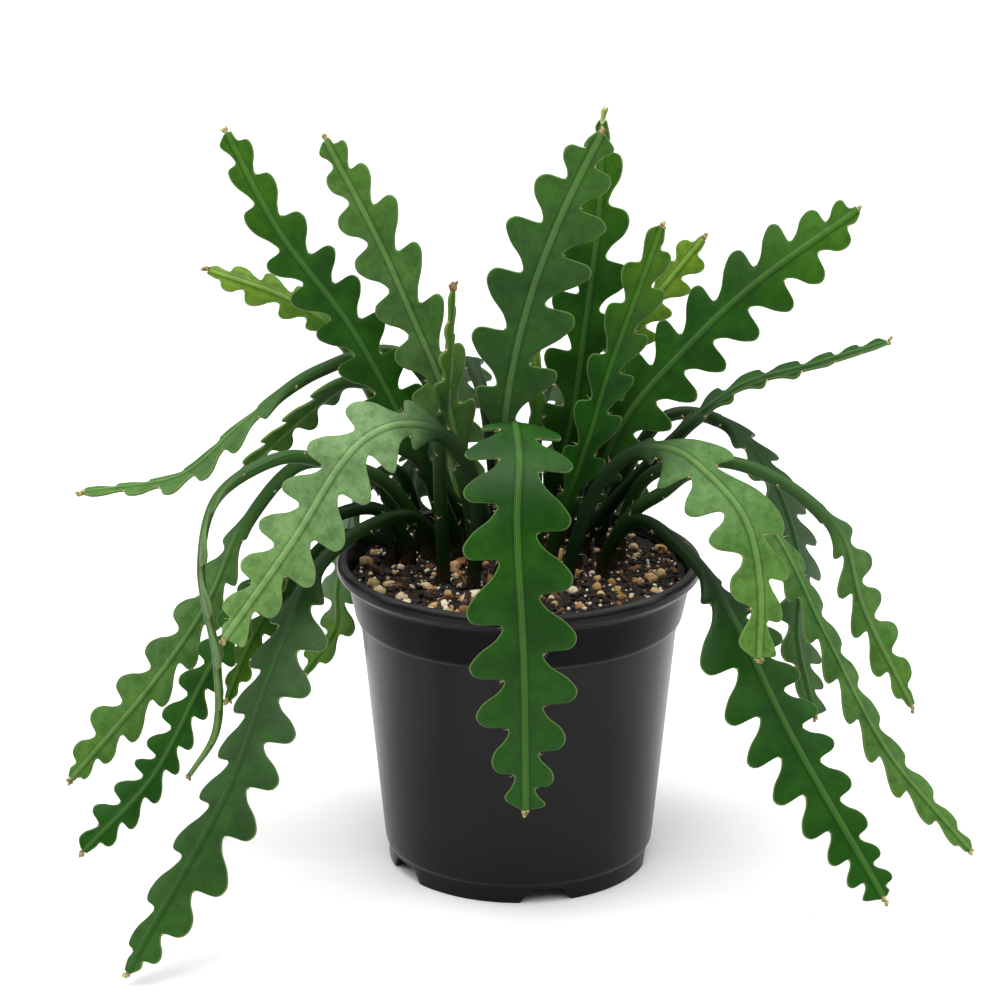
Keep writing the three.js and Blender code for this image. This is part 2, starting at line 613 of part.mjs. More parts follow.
function stemHole(x, y) {
  const depth = 30;
  const geometry = new THREE.CylinderGeometry(holeRadius, holeRadius, depth, holeSides);
  geometry.rotateX(Math.PI / 2);
  geometry.translate(x, y, stemFoot - touchGap + depth / 2);
  return geometry;
}

// ---- Assembly ----
function addMesh(parent, name, geometry, colour, roughness) {
  const material = new THREE.MeshStandardMaterial({ color: colour, roughness, metalness: 0 });
  const mesh = new THREE.Mesh(geometry, material);
  mesh.name = name;
  parent.add(mesh);
}

const group = new THREE.Group();
addMesh(group, 'pot', potGeometry(), potBlack, 0.45);
addMesh(group, 'soil', soilGeometry(), soilBrown, 0.95);
stems.forEach((stem) => addMesh(group, stem.name, stemGeometry(stem), stem.colour, 0.5));

export default group;
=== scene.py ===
# A fishbone cactus in a black nursery pot: smooth lobed stems, a turned pot and loose
# potting mix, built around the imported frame. Lengths in the tables are in millimetres.
import math
import random

import bmesh
import bpy
import numpy as np
from mathutils import Matrix, Vector, noise


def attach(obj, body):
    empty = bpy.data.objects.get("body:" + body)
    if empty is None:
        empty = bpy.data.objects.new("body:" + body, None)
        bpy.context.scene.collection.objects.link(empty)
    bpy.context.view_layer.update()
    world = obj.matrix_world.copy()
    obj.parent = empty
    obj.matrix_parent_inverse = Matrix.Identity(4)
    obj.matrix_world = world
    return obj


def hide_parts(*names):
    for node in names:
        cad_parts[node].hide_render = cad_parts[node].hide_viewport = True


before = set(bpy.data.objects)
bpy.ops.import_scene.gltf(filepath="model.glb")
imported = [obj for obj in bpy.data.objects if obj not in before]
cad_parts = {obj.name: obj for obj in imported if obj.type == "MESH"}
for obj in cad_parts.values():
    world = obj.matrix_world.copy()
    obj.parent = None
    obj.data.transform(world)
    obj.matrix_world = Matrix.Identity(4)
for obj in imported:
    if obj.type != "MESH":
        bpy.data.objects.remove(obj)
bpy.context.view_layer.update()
mm = 0.001
print("frame loaded:", len(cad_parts), "nodes")

studio = {
    "cameraPlace": (0.0, -1.5, 0.656),
    "cameraDown": 17.92,
    "cameraTurn": 0.33,
    "lens": 126.1,
    "sensorWidth": 36,
    "farClip": 30,
    "floorSize": 14.0,
    "floorColour": (0.93, 0.93, 0.93),
    "skyStrength": 0.25,
    # each lamp: where it hangs, what it points at, its width and height in metres, its watts
    "lamps": {
        "ceiling": ((0, 0.01, 2.8), (0, 0, 0), 6.5, 6.5, 220),
        "leftBox": ((-1.5, 0.25, 0.75), (0, 0, 0.16), 0.7, 1.5, 7),
        "rightBox": ((1.5, 0.25, 0.75), (0, 0, 0.16), 0.7, 1.5, 7),
        "topBox": ((-0.15, -0.35, 1.6), (0, 0, 0.16), 0.9, 0.9, 14),
    },
}


def makeCamera():
    data = bpy.data.cameras.new("studioCamera")
    data.lens = studio["lens"]
    data.sensor_width = studio["sensorWidth"]
    data.clip_end = studio["farClip"]
    camera = bpy.data.objects.new("studioCamera", data)
    bpy.context.scene.collection.objects.link(camera)
    camera.location = studio["cameraPlace"]
    camera.rotation_euler = (
        math.radians(90 - studio["cameraDown"]), 0, math.radians(studio["cameraTurn"]))
    bpy.context.scene.camera = camera


def makeLamp(name, place, target, width, height, power):
    data = bpy.data.lights.new(name, "AREA")
    data.shape = "RECTANGLE"
    data.size, data.size_y = width, height
    data.energy = power
    lamp = bpy.data.objects.new(name, data)
    bpy.context.scene.collection.objects.link(lamp)
    lamp.location = place
    aim = Vector(target) - Vector(place)
    lamp.rotation_euler = aim.to_track_quat("-Z", "Y").to_euler()


def makeStudio():
    makeCamera()
    world = bpy.data.worlds.new("paleRoom")
    bpy.context.scene.world = world
    world.use_nodes = True
    sky = world.node_tree.nodes["Background"]
    sky.inputs["Color"].default_value = (1, 1, 1, 1)
    sky.inputs["Strength"].default_value = studio["skyStrength"]
    for name, values in studio["lamps"].items():
        makeLamp(name, *values)
    bpy.context.scene.view_settings.view_transform = "Standard"


makeStudio()


class Wire:
    # one output socket; arithmetic on it adds Math nodes to its tree
    def __init__(self, shade, socket):
        self.shade, self.socket = shade, socket

    def math(self, operation, *others):
        return self.shade.node("ShaderNodeMath", {"operation": operation}, [self, *others])

    def __add__(self, other):
        return self.math("ADD", other)

    def __sub__(self, other):
        return self.math("SUBTRACT", other)

    def __mul__(self, other):
        return self.math("MULTIPLY", other)

    def __truediv__(self, other):
        return self.math("DIVIDE", other)

    def __rsub__(self, other):
        return self.shade.node("ShaderNodeMath", {"operation": "SUBTRACT"}, [other, self])

    __radd__ = __add__
    __rmul__ = __mul__

    def step(self, low, high):
        # 0 below low, 1 above high, smooth between; it may run backwards
        return self.shade.node(
            "ShaderNodeMapRange", {"interpolation_type": "SMOOTHSTEP"}, [self, low, high, 0, 1])


class Shade:
    # one material and the nodes that feed its shader
    def __init__(self, name, roughness=0.5):
        self.material = bpy.data.materials.new(name)
        self.material.use_nodes = True
        self.tree = self.material.node_tree
        self.shader = self.tree.nodes["Principled BSDF"]
        self.shader.inputs["Roughness"].default_value = roughness
        self.place = self.node("ShaderNodeTexCoord", {}, [], "Object")

    def node(self, kind, settings, values, output=0):
        made = self.tree.nodes.new(kind)
        for key, value in settings.items():
            if key == "stops":
                self.setStops(made.color_ramp, value)
            else:
                setattr(made, key, value)
        pairs = values.items() if isinstance(values, dict) else enumerate(values)
        for key, value in pairs:
            if isinstance(value, Wire):
                self.tree.links.new(value.socket, made.inputs[key])
            else:
                made.inputs[key].default_value = value
        return Wire(self, made.outputs[output])

    def setStops(self, ramp, stops):
        while len(ramp.elements) < len(stops):
            ramp.elements.new(0.5)
        for element, (position, colour) in zip(ramp.elements, stops):
            element.position = position
            element.color = (*colour, 1)

    def noise(self, scale, detail=3, roughness=0.55):
        values = {"Vector": self.place, "Scale": scale, "Detail": detail, "Roughness": roughness}
        return self.node("ShaderNodeTexNoise", {}, values, "Fac")

    def attribute(self, name):
        return self.node("ShaderNodeAttribute", {"attribute_name": name}, {}, "Fac")

    def mix(self, factor, first, second):
        settings = {"data_type": "RGBA"}
        first, second = [c if isinstance(c, Wire) else (*c, 1) for c in (first, second)]
        return self.node("ShaderNodeMix", settings, {0: factor, 6: first, 7: second}, 2)

    def feed(self, name, wire):
        self.tree.links.new(wire.socket, self.shader.inputs[name])

    def bump(self, height, distance, strength=1.0):
        values = {"Height": height, "Distance": distance, "Strength": strength}
        self.feed("Normal", self.node("ShaderNodeBump", {}, values))

    def settle(self, **sockets):
        for name, value in sockets.items():
            self.shader.inputs[name.replace("_", " ")].default_value = value


def finish(bm, name, materials, replaces=()):
    # turns the mesh into a smooth piece at the origin that rides on the part
    mesh = bpy.data.meshes.new(name)
    bm.to_mesh(mesh)
    bm.free()
    for material in materials:
        mesh.materials.append(material)
    mesh.polygons.foreach_set("use_smooth", [True] * len(mesh.polygons))
    piece = bpy.data.objects.new(name, mesh)
    bpy.context.scene.collection.objects.link(piece)
    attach(piece, "root")
    if replaces:
        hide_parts(*replaces)


def ease(value):
    t = np.clip(value, 0, 1)
    return t * t * (3 - 2 * t)


growth = {
    "soilHeight": 136,
    "foot": 124,
    "sunk": 12,
    "uprightTo": (2, 10),
    "lineSteps": 40,
    "edgeSteps": 16,
    "stalkHalf": 3,
    "stalkDepth": 3,
    "stalkKeel": 0.3,
    "bladedOver": 40,
    "marginDepth": 0.62,
    "marginDroop": 2,
    "marginRipple": 0.5,
    "marginSwell": 0.45,
    "rimBulge": 0.3,
    "ribWidth": 1.25,
    "ribHeights": (0.35, 0.55),
    "grooveDepth": 0.12,
    "grooveAt": 2.4,
    "grooveWidth": 0.8,
    "thinTip": 30,
    "tipHalf": 1.6,
    "tipFlare": 0.2,
    "tipFlareEnd": 2.6,
    "tipClear": 1.5,
    "bladeClear": 2,
    "bladeLead": 8,
    "rowStep": 1.0,
    "stalkRowStep": 3.0,
    "columns": (0, 0.55, 1.1, 1.7, 2.5),
    "outerShares": (0.2, 0.42, 0.64, 0.82, 0.93, 1),
    "lobeEdge": ((0, 0), (0.22, 0.16), (0.5, 0.72), (0.76, 1), (0.93, 0.86)),
    "tipShare": 0.45,
    "openingPitches": 2,
    "tuftsFrom": 30,
    "tuftStep": 15,
    "rippleSeed": 100,
    "tuftSeed": 300,
}

# Each path runs from the foot in its hole, over the soil, to the tip, and face is the way the
# upper side looks at the stalk and at the tip. lobes gives, for each edge, how far the first
# notch lies from the tip and then the length of each lobe, where the last one repeats.
stems = {
    "stem_front_centre": {
        "path": ((2, -28), (-1, -28, 188), (-2, -45, 219), (0, -76, 212), (-1, -92, 190),
                 (2, -103, 132), (3, -106, 65)),
        "face": ((0, 0.5, 0.85), (0.05, -1, 0.15)), "blade": 210, "halves": (23, 23),
        "pitch": 25.5, "taper": 2.3, "notch": 0.36, "lean": 0,
        "lobes": ((16, 21, 22, 24, 28, 23, 22), (10, 16, 21, 23, 25, 27, 28, 19, 24)), "tint": "mid",
    },
    "stem_front_left_broad": {
        "path": ((-20, -28), (-20, -27, 188), (-34, -33, 212), (-52, -40, 218), (-66, -46, 214),
                 (-77, -53, 204), (-97, -66, 174), (-127, -80, 134)),
        "face": ((-0.2, -0.6, 0.8), (-0.2, -0.95, 0.3)), "blade": 150, "halves": (18.5, 19.5),
        "pitch": 20, "taper": 2.8, "notch": 0.34, "lean": -0.05,
        "lobes": ((8, 18, 19, 21, 19, 20), (17, 20, 19, 23, 23, 25, 24)), "tint": "frost",
    },
    "stem_front_left_long": {
        "path": ((-36, 4), (-46, -3, 163), (-62, -19, 167), (-86, -45, 157), (-106, -79, 121),
                 (-125, -113, 75), (-166, -146, 7)),
        "face": ((-0.2, -0.65, 0.75), (-0.45, -0.85, 0.3)), "blade": 200, "halves": (12.5, 20),
        "pitch": 21.5, "taper": 2.3, "notch": 0.4, "lean": 0.1,
        "lobes": ((9, 20, 25, 25, 21, 22, 21, 22), (7, 14, 22, 26, 22, 20, 21, 23, 22)), "tint": "cool",
    },
    "stem_left_upright_outer": {
        "path": ((-28, 14), (-56, 12, 211), (-76, 18, 247), (-108, 30, 288), (-131, 41, 330)),
        "face": ((0.3, -0.9, 0.3), (0.05, -1, 0.05)), "blade": 185, "halves": (15.5, 15),
        "pitch": 19, "taper": 4.1, "notch": 0.34, "lean": -0.05,
        "lobes": ((5, 17, 22, 22, 17, 19, 18), (14, 20, 23, 18, 20)), "tint": "deep",
    },
    "stem_left_upright_inner": {
        "path": ((-20, 0), (-31, 1, 213), (-48, 4, 257), (-64, 8, 293), (-85, 12, 333)),
        "face": ((-0.05, -0.95, 0.3), (-0.2, -1, 0.05)), "blade": 172, "halves": (15, 15.5),
        "pitch": 28.5, "taper": 1.6, "notch": 0.34, "lean": 0.3,
        "lobes": ((3, 13, 19, 23, 25, 24), (12, 17, 20, 23, 22)), "tint": "arch",
    },
    "stem_left_young": {
        "path": ((-24, 40), (-63, 38, 202), (-82, 47, 234), (-104, 54, 249), (-143, 64, 261)),
        "face": ((-0.05, -1, 0.05), (-0.05, -0.8, 0.55)), "blade": 80, "halves": (8, 9),
        "pitch": 19.5, "taper": 1.1, "notch": 0.4, "lean": 0.15,
        "lobes": ((10, 15), (7, 12, 18, 15)), "tint": "lime",
    },
    "stem_small_shoot": {
        "path": ((-34, -16), (-35, -19, 204), (-31, -23, 245), (-29, -26, 275)),
        "face": ((0.9, -0.45, 0), (0.9, -0.4, 0)), "blade": 70, "halves": (7.5, 7.5),
        "pitch": 14.5, "taper": 3, "notch": 0.24, "lean": 0.05,
        "lobes": ((8, 13, 13, 15, 17), (14, 13, 14, 15, 17)), "tint": "bright", "bud": "red",
    },
    "stem_centre_tall": {
        "path": ((-8, -12), (-6, -9, 215), (4, -12, 266), (18, -16, 306), (35, -19, 343)),
        "face": ((-0.05, -0.95, 0.3), (0.05, -1, 0.15)), "blade": 162, "halves": (22, 20.5),
        "pitch": 28, "taper": 1.9, "notch": 0.32, "lean": 0.05,
        "lobes": ((15, 20, 23, 25, 29, 27), (9, 16, 22, 24, 27, 26)), "tint": "dusk",
    },
    "stem_centre_back": {
        "path": ((8, 22), (23, 22, 197), (29, 26, 239), (36, 32, 298), (37, 36, 337)),
        "face": ((-0.05, -0.95, 0.3), (-0.25, -0.95, 0)), "blade": 180, "halves": (17, 17),
        "pitch": 24.5, "taper": 3, "notch": 0.3, "lean": -0.1,
        "lobes": ((13, 24, 24, 24, 26), (8, 23, 24, 24, 26)), "tint": "deep", "bud": "fingers",
    },
    "stem_centre_right_bright": {
        "path": ((14, -8), (32, 0, 203), (39, 0, 229), (54, -2, 274), (62, -4, 298)),
        "face": ((-0.1, -0.95, 0.35), (0.05, -1, 0.15)), "blade": 150, "halves": (12, 10),
        "pitch": 25, "taper": 1.1, "notch": 0.4, "lean": 0.2,
        "lobes": ((10, 18, 22, 20), (18, 20, 25, 22)), "tint": "bright",
    },
    "stem_right_back_light": {
        "path": ((18, 36), (40, 38, 207), (54, 42, 242), (74, 46, 269), (83, 48, 280)),
        "face": ((-0.15, -0.95, 0.3), (-0.25, -0.95, 0.15)), "blade": 105, "halves": (10.5, 10.5),
        "pitch": 16, "taper": 1, "notch": 0.32, "lean": 0.05,
        "lobes": ((7, 13, 14), (4, 12, 16, 14)), "tint": "lime",
    },
    "stem_right_upright": {
        "path": ((26, 4), (46, 6, 204), (74, 8, 239), (103, 8, 268), (149, 8, 303)),
        "face": ((-0.35, -0.85, 0.4), (-0.05, -0.85, 0.5)), "blade": 185, "halves": (19, 18),
        "pitch": 20.5, "taper": 2, "notch": 0.34, "lean": -0.1,
        "lobes": ((8, 17, 19, 21, 22, 19), (3, 12, 18, 19, 23, 21, 19, 20)), "tint": "deep",
    },
    "stem_right_side_on": {
        "path": ((30, 18), (77, 26, 198), (101, 35, 214), (136, 44, 222), (168, 50, 231)),
        "face": ((-0.35, -0.3, 0.9), (-0.3, -0.3, 0.9)), "blade": 115, "halves": (4.5, 11),
        "pitch": 19, "taper": 2.9, "notch": 0.3, "lean": -0.1,
        "lobes": ((13, 13, 16, 17, 17), (12, 12, 16, 18, 20, 17)), "tint": "mid",
    },
    "stem_thin_young": {
        "path": ((8, 8), (7, 11, 195), (8, 13, 215), (6, 15, 241)),
        "face": ((0.1, -1, 0), (0.1, -1, 0)), "blade": 40, "halves": (4.5, 4.5),
        "pitch": 10.5, "taper": 2.6, "notch": 0.24, "lean": 0,
        "lobes": ((5, 9, 10, 11, 12), (5, 9, 10, 11, 12)), "tint": "lime",
    },
    "stem_far_left_arc": {
        "path": ((-14, 32), (-53, 34, 229), (-91, 32, 222), (-126, 24, 198), (-153, 15, 177),
                 (-197, 6, 172)),
        "face": ((-0.3, 0.05, 0.95), (0, -0.1, 1)), "blade": 116, "halves": (10.5, 10.5),
        "pitch": 18.5, "taper": 2.6, "notch": 0.44, "lean": -0.05,
        "lobes": ((1, 14, 15, 17, 22), (18, 16, 16, 18, 22)), "tint": "arch",
    },
    "stem_left_underside": {
        "path": ((-34, 28), (-60, 30, 212), (-78, 28, 218), (-92, 25, 209), (-115, 18, 189),
                 (-127, 14, 178)),
        "face": ((-0.25, 0.55, 0.8), (-0.2, 0.7, 0.7)), "blade": 75, "halves": (12, 12),
        "pitch": 16.5, "taper": 1.9, "notch": 0.32, "lean": -0.4,
        "lobes": ((5, 13, 15, 16, 19), (5, 14, 14, 16, 19)), "tint": "arch",
    },
    "stem_left_bow": {
        "path": ((-42, 16), (-62, 8, 178), (-86, -4, 190), (-106, -18, 196), (-133, -32, 182),
                 (-140, -42, 154), (-133, -54, 112), (-134, -60, 82), (-145, -67, 65)),
        "face": ((-0.45, 0.05, 0.9), (-1, 0, 0.1)), "blade": 150, "halves": (10, 10),
        "pitch": 19.5, "taper": 3, "notch": 0.26, "lean": -0.15,
        "lobes": ((1, 16, 16, 18, 23), (1, 16, 16, 18, 23)), "tint": "arch",
    },
    "stem_left_drooping_back": {
        "path": ((-54, 22), (-67, 22, 174), (-98, 23, 181), (-124, 15, 155), (-143, 7, 117),
                 (-168, -2, 82), (-205, -14, 41)),
        "face": ((-0.5, 0.15, 0.85), (-0.15, -0.95, 0.25)), "blade": 155, "halves": (15, 10.5),
        "pitch": 26.5, "taper": 1.3, "notch": 0.38, "lean": -0.25,
        "lobes": ((7, 15, 19, 21, 22), (3, 12, 16, 21)), "tint": "arch",
    },
    "stem_left_drooping_front": {
        "path": ((-50, 6), (-64, 4, 165), (-86, -1, 162), (-110, -8, 139), (-138, -17, 99),
                 (-166, -33, 49), (-196, -48, 20)),
        "face": ((-0.25, -0.5, 0.85), (0, -0.95, 0.3)), "blade": 185, "halves": (11, 8.5),
        "pitch": 15.5, "taper": 1.1, "notch": 0.32, "lean": -0.15,
        "lobes": ((13, 14, 16, 11, 15, 17, 16), (8, 13, 15, 15, 12, 15, 14)), "tint": "mid",
    },
    "stem_left_rim_bright": {
        "path": ((-46, 34), (-57, 42, 172), (-71, 50, 161), (-81, 56, 130), (-85, 58, 107),
                 (-86, 58, 89), (-101, 52, 68)),
        "face": ((-0.25, 0.15, 0.95), (-0.75, -0.65, 0.2)), "blade": 108, "halves": (18, 14),
        "pitch": 16.5, "taper": 2.8, "notch": 0.32, "lean": 0.1,
        "lobes": ((5, 17, 16, 17), (8, 16, 16, 17)), "tint": "bright",
    },
    "stem_left_short": {
        "path": ((-58, 10), (-70, 11, 150), (-84, 10, 149), (-102, 5, 131), (-121, -1, 104),
                 (-133, -6, 77)),
        "face": ((-0.4, -0.3, 0.85), (-0.5, -0.8, 0.3)), "blade": 62, "halves": (9, 9),
        "pitch": 12, "taper": 2, "notch": 0.32, "lean": 0.1,
        "lobes": ((5, 12, 13, 14), (10, 12, 13, 14)), "tint": "bright",
    },
    "stem_front_right_broad": {
        "path": ((22, -24), (36, -21, 186), (52, -30, 203), (68, -40, 206), (82, -52, 199),
                 (97, -68, 184), (103, -80, 160), (103, -90, 129)),
        "face": ((0.2, -0.6, 0.75), (0.3, -0.9, 0.3)), "blade": 130, "halves": (19.5, 17),
        "pitch": 19, "taper": 3.2, "notch": 0.34, "lean": -0.35,
        "lobes": ((21, 23, 23, 24), (16, 18, 19, 37, 28)), "tint": "pale",
    },
    "stem_front_right_long": {
        "path": ((38, -10), (52, -14, 166), (74, -36, 158), (93, -60, 136), (118, -86, 91),
                 (158, -110, 26)),
        "face": ((0.25, -0.6, 0.75), (0.3, -0.9, 0.25)), "blade": 164, "halves": (23, 18),
        "pitch": 18.5, "taper": 4.5, "notch": 0.38, "lean": 0.05,
        "lobes": ((10, 12, 15, 19, 19, 19, 23, 31, 27), (4, 11, 13, 18, 19, 17, 18)), "tint": "mid",
    },
    "stem_right_long_narrow": {
        "path": ((42, 2), (51, 0, 165), (64, -2, 175), (79, -6, 186), (111, -14, 163),
                 (136, -30, 118), (164, -46, 68), (201, -61, 27)),
        "face": ((0.4, -0.25, 0.9), (0.45, -0.8, 0.4)), "blade": 205, "halves": (9, 9),
        "pitch": 20, "taper": 2.2, "notch": 0.44, "lean": 0.45,
        "lobes": ((5, 15, 19, 19, 19, 20), (11, 16, 20, 21, 21, 17, 19)), "tint": "arch",
    },
    "stem_right_arc_outer": {
        "path": ((46, 16), (58, 12, 178), (90, 8, 187), (120, 4, 177), (145, -2, 154),
                 (155, -8, 123), (178, -17, 79)),
        "face": ((0.25, 0.3, 0.95), (0.3, -0.9, 0.2)), "blade": 105, "halves": (9, 12.5),
        "pitch": 20, "taper": 1.5, "notch": 0.3, "lean": 0.45,
        "lobes": ((5, 14, 21, 18), (9, 17, 18)), "tint": "arch",
    },
    "stem_right_arc_inner": {
        "path": ((38, 34), (67, 40, 198), (94, 47, 193), (114, 42, 171), (129, 38, 130),
                 (129, 32, 92), (138, 25, 57)),
        "face": ((0, 0.25, 0.95), (0.75, -0.65, 0.1)), "blade": 160, "halves": (12, 20.5),
        "pitch": 18, "taper": 2.4, "notch": 0.4, "lean": -0.4,
        "lobes": ((8, 18), (12, 13, 15, 14)), "tint": "cool",
    },
    "stem_back_left_low": {
        "path": ((-30, 48), (-42, 72, 174), (-50, 90, 158), (-52, 102, 108), (-52, 107, 58)),
        "face": ((-0.4, 0.2, 1), (-0.3, 1, 0.1)), "blade": 145, "halves": (14, 14),
        "pitch": 21, "taper": 2.2, "notch": 0.34, "lean": -0.1,
        "lobes": ((5, 17, 19, 21), (13, 17, 19, 21)), "tint": "mid",
    },
    "stem_back_left_arch": {
        "path": ((-10, 46), (-16, 58, 200), (-24, 84, 212), (-32, 112, 188), (-34, 132, 140),
                 (-34, 140, 92)),
        "face": ((0, -0.2, 1), (-0.1, 1, 0.2)), "blade": 155, "halves": (17, 17),
        "pitch": 22, "taper": 2.2, "notch": 0.34, "lean": -0.1,
        "lobes": ((8, 18, 20, 22), (1, 18, 20, 22)), "tint": "pale",
    },
    "stem_back_right_arch": {
        "path": ((2, 44), (10, 64, 198), (18, 90, 206), (24, 122, 178), (26, 142, 124),
                 (26, 148, 66)),
        "face": ((0, -0.2, 1), (0.1, 1, 0.2)), "blade": 165, "halves": (18, 18),
        "pitch": 23, "taper": 2.2, "notch": 0.34, "lean": -0.1,
        "lobes": ((4, 19, 21, 23), (14, 19, 21, 23)), "tint": "pale",
    },
    "stem_back_right_low": {
        "path": ((24, 50), (38, 74, 174), (48, 92, 158), (52, 102, 108), (52, 107, 54)),
        "face": ((0.4, 0.2, 1), (0.3, 1, 0.1)), "blade": 145, "halves": (14, 14),
        "pitch": 21, "taper": 2.2, "notch": 0.34, "lean": -0.1,
        "lobes": ((9, 17, 19, 21), (2, 17, 19, 21)), "tint": "deep",
    },
}


def splinePoints(points, perSpan):
    # a Catmull-Rom curve through the points, with its speed set by the root of their distances
    power = 0.25
    points = [np.array(p, float) for p in points]
    ends = [2 * points[0] - points[1], *points, 2 * points[-1] - points[-2]]
    line = []
    for p0, p1, p2, p3 in zip(ends, ends[1:], ends[2:], ends[3:]):
        d0, d1, d2 = [max(float((b - a) @ (b - a)) ** power, 1e-4)
                      for a, b in ((p0, p1), (p1, p2), (p2, p3))]
        out = ((p1 - p0) / d0 - (p2 - p0) / (d0 + d1) + (p2 - p1) / d1) * d1
        back = ((p2 - p1) / d1 - (p3 - p1) / (d1 + d2) + (p3 - p2) / d2) * d1
        for t in np.arange(perSpan) / perSpan:
            line.append(p1 * (2 * t**3 - 3 * t * t + 1) + out * (t**3 - 2 * t * t + t)
                        + p2 * (3 * t * t - 2 * t**3) + back * (t**3 - t * t))
    line.append(points[-1])
    return np.array(line)


class Stem:
    # the centre line of one stem with its frame, and the outline of its two edges
    def __init__(self, values):
        self.__dict__.update(values)
        (x, y), *rest = self.path
        low = [(x, y, growth["foot"])] + [(x, y, growth["soilHeight"] + up) for up in growth["uprightTo"]]
        self.line = splinePoints(low + rest, growth["lineSteps"])
        steps = np.linalg.norm(np.diff(self.line, axis=0), axis=1)
        self.alongs = np.concatenate([[0], np.cumsum(steps)])
        self.length = self.alongs[-1]
        self.tangents = np.gradient(self.line, self.alongs, axis=0)
        self.start = self.length - self.blade

    def frameAt(self, along):
        along = np.clip(along, 0, self.length)
        centre = np.stack([np.interp(along, self.alongs, self.line[:, k]) for k in range(3)], -1)
        tangent = np.stack([np.interp(along, self.alongs, self.tangents[:, k]) for k in range(3)], -1)
        tangent /= np.linalg.norm(tangent, axis=-1, keepdims=True)
        first, last = [np.array(v, float) / np.linalg.norm(v) for v in self.face]
        share = (along / self.length)[..., None]
        normal = first * (1 - share) + last * share
        normal = normal - tangent * np.sum(normal * tangent, -1, keepdims=True)
        normal /= np.linalg.norm(normal, axis=-1, keepdims=True)
        return centre, tangent, normal, np.cross(tangent, normal)

    def widthAt(self, flank, fromTip, rise):
        reach = self.notch + rise * (1 - self.notch)
        opening = ease((self.blade - fromTip) / (growth["openingPitches"] * self.pitch))
        share = growth["tipShare"]
        closing = share + (1 - share) * ease(fromTip / (self.taper * self.pitch))
        lobed = self.halves[flank] * reach * closing
        width = growth["stalkHalf"] + opening * (lobed - growth["stalkHalf"])
        return max(width, min(growth["tipFlareEnd"], growth["tipHalf"] + growth["tipFlare"] * fromTip))

    def notches(self, flank):
        # how far back from the tip the notches of one edge lie
        tipGap, *lengths = self.lobes[flank]
        found = [tipGap - lengths[0], tipGap]
        while found[-1] < self.blade:
            found.append(found[-1] + lengths[min(len(found) - 2, len(lengths) - 1)])
        return found

    def edge(self, flank, sign, rows):
        # where each row meets the edge: lengths along the stem and widths out from the rib
        half = growth["stalkHalf"]
        lead = growth["bladeLead"]
        knots = [(0, half), (max(self.start - lead, lead), half)]
        marks = [0, 1]
        notches = self.notches(flank)
        for tipward, notch in reversed(list(zip(notches, notches[1:]))):
            for place, rise in growth["lobeEdge"]:
                fromTip = notch + (tipward - notch) * place
                if growth["tipClear"] < fromTip < self.blade - growth["bladeClear"]:
                    if place == 0:
                        marks.append(len(knots))
                    knots.append((self.length - fromTip, self.widthAt(flank, fromTip, rise)))
        marks.append(len(knots))
        knots.append((self.length, growth["tipHalf"]))
        perSpan = growth["edgeSteps"]
        curve = splinePoints(knots, perSpan)
        curve[:, 0] += sign * self.lean * np.maximum(curve[:, 1] - half, 0)
        arc = np.concatenate([[0], np.cumsum(np.linalg.norm(np.diff(curve, axis=0), axis=1))])
        markArc = [arc[m * perSpan] for m in marks]
        markAlong = [knots[m][0] for m in marks]
        place = np.interp(rows, markAlong, markArc)
        return np.interp(place, arc, curve[:, 0]), np.interp(place, arc, curve[:, 1]), [
            (knots[m][0] + sign * self.lean * max(knots[m][1] - half, 0), knots[m][1]) for m in marks[2:-1]]

    def rows(self):
        stalk = max(4, int(self.start / growth["stalkRowStep"]))
        blade = int(self.blade / growth["rowStep"])
        low = np.linspace(0, self.start, stalk, endpoint=False)
        return np.concatenate([low, np.linspace(self.start, self.length, blade)])


def slab(columns, rows):
    # a flat closed sheet: x and y number its columns and rows, z its face, with a loop on its rim
    bm = bmesh.new()
    bmesh.ops.create_grid(bm, x_segments=columns, y_segments=rows, size=1)
    bmesh.ops.solidify(bm, geom=bm.faces[:], thickness=1)
    rim = [e for e in bm.edges if abs(e.verts[0].co.z - e.verts[1].co.z) > 0.5]
    bmesh.ops.subdivide_edges(bm, edges=rim, cuts=1)
    return bm


def ribAndBlade(stem, along, across, width):
    # half the thickness: a round stalk that becomes a thin blade with a raised rib
    share = across / width
    stalk = growth["stalkDepth"] * np.sqrt(np.clip(1 - share**2, 0, 1)) + growth["stalkKeel"] * share
    tip = ease((stem.length - along) / growth["thinTip"])
    body = growth["marginDepth"] + growth["marginSwell"] * (1 - share**2) * (0.5 + 0.5 * tip)
    low, more = growth["ribHeights"]
    rib = (low + more * tip) * np.exp(-(across / growth["ribWidth"]) ** 2 * 1.1)
    groove = growth["grooveDepth"] * np.exp(-((across - growth["grooveAt"]) / growth["grooveWidth"]) ** 2)
    bladed = ease((along - stem.start) / growth["bladedOver"])
    return stalk + bladed * (body + rib - groove - stalk)


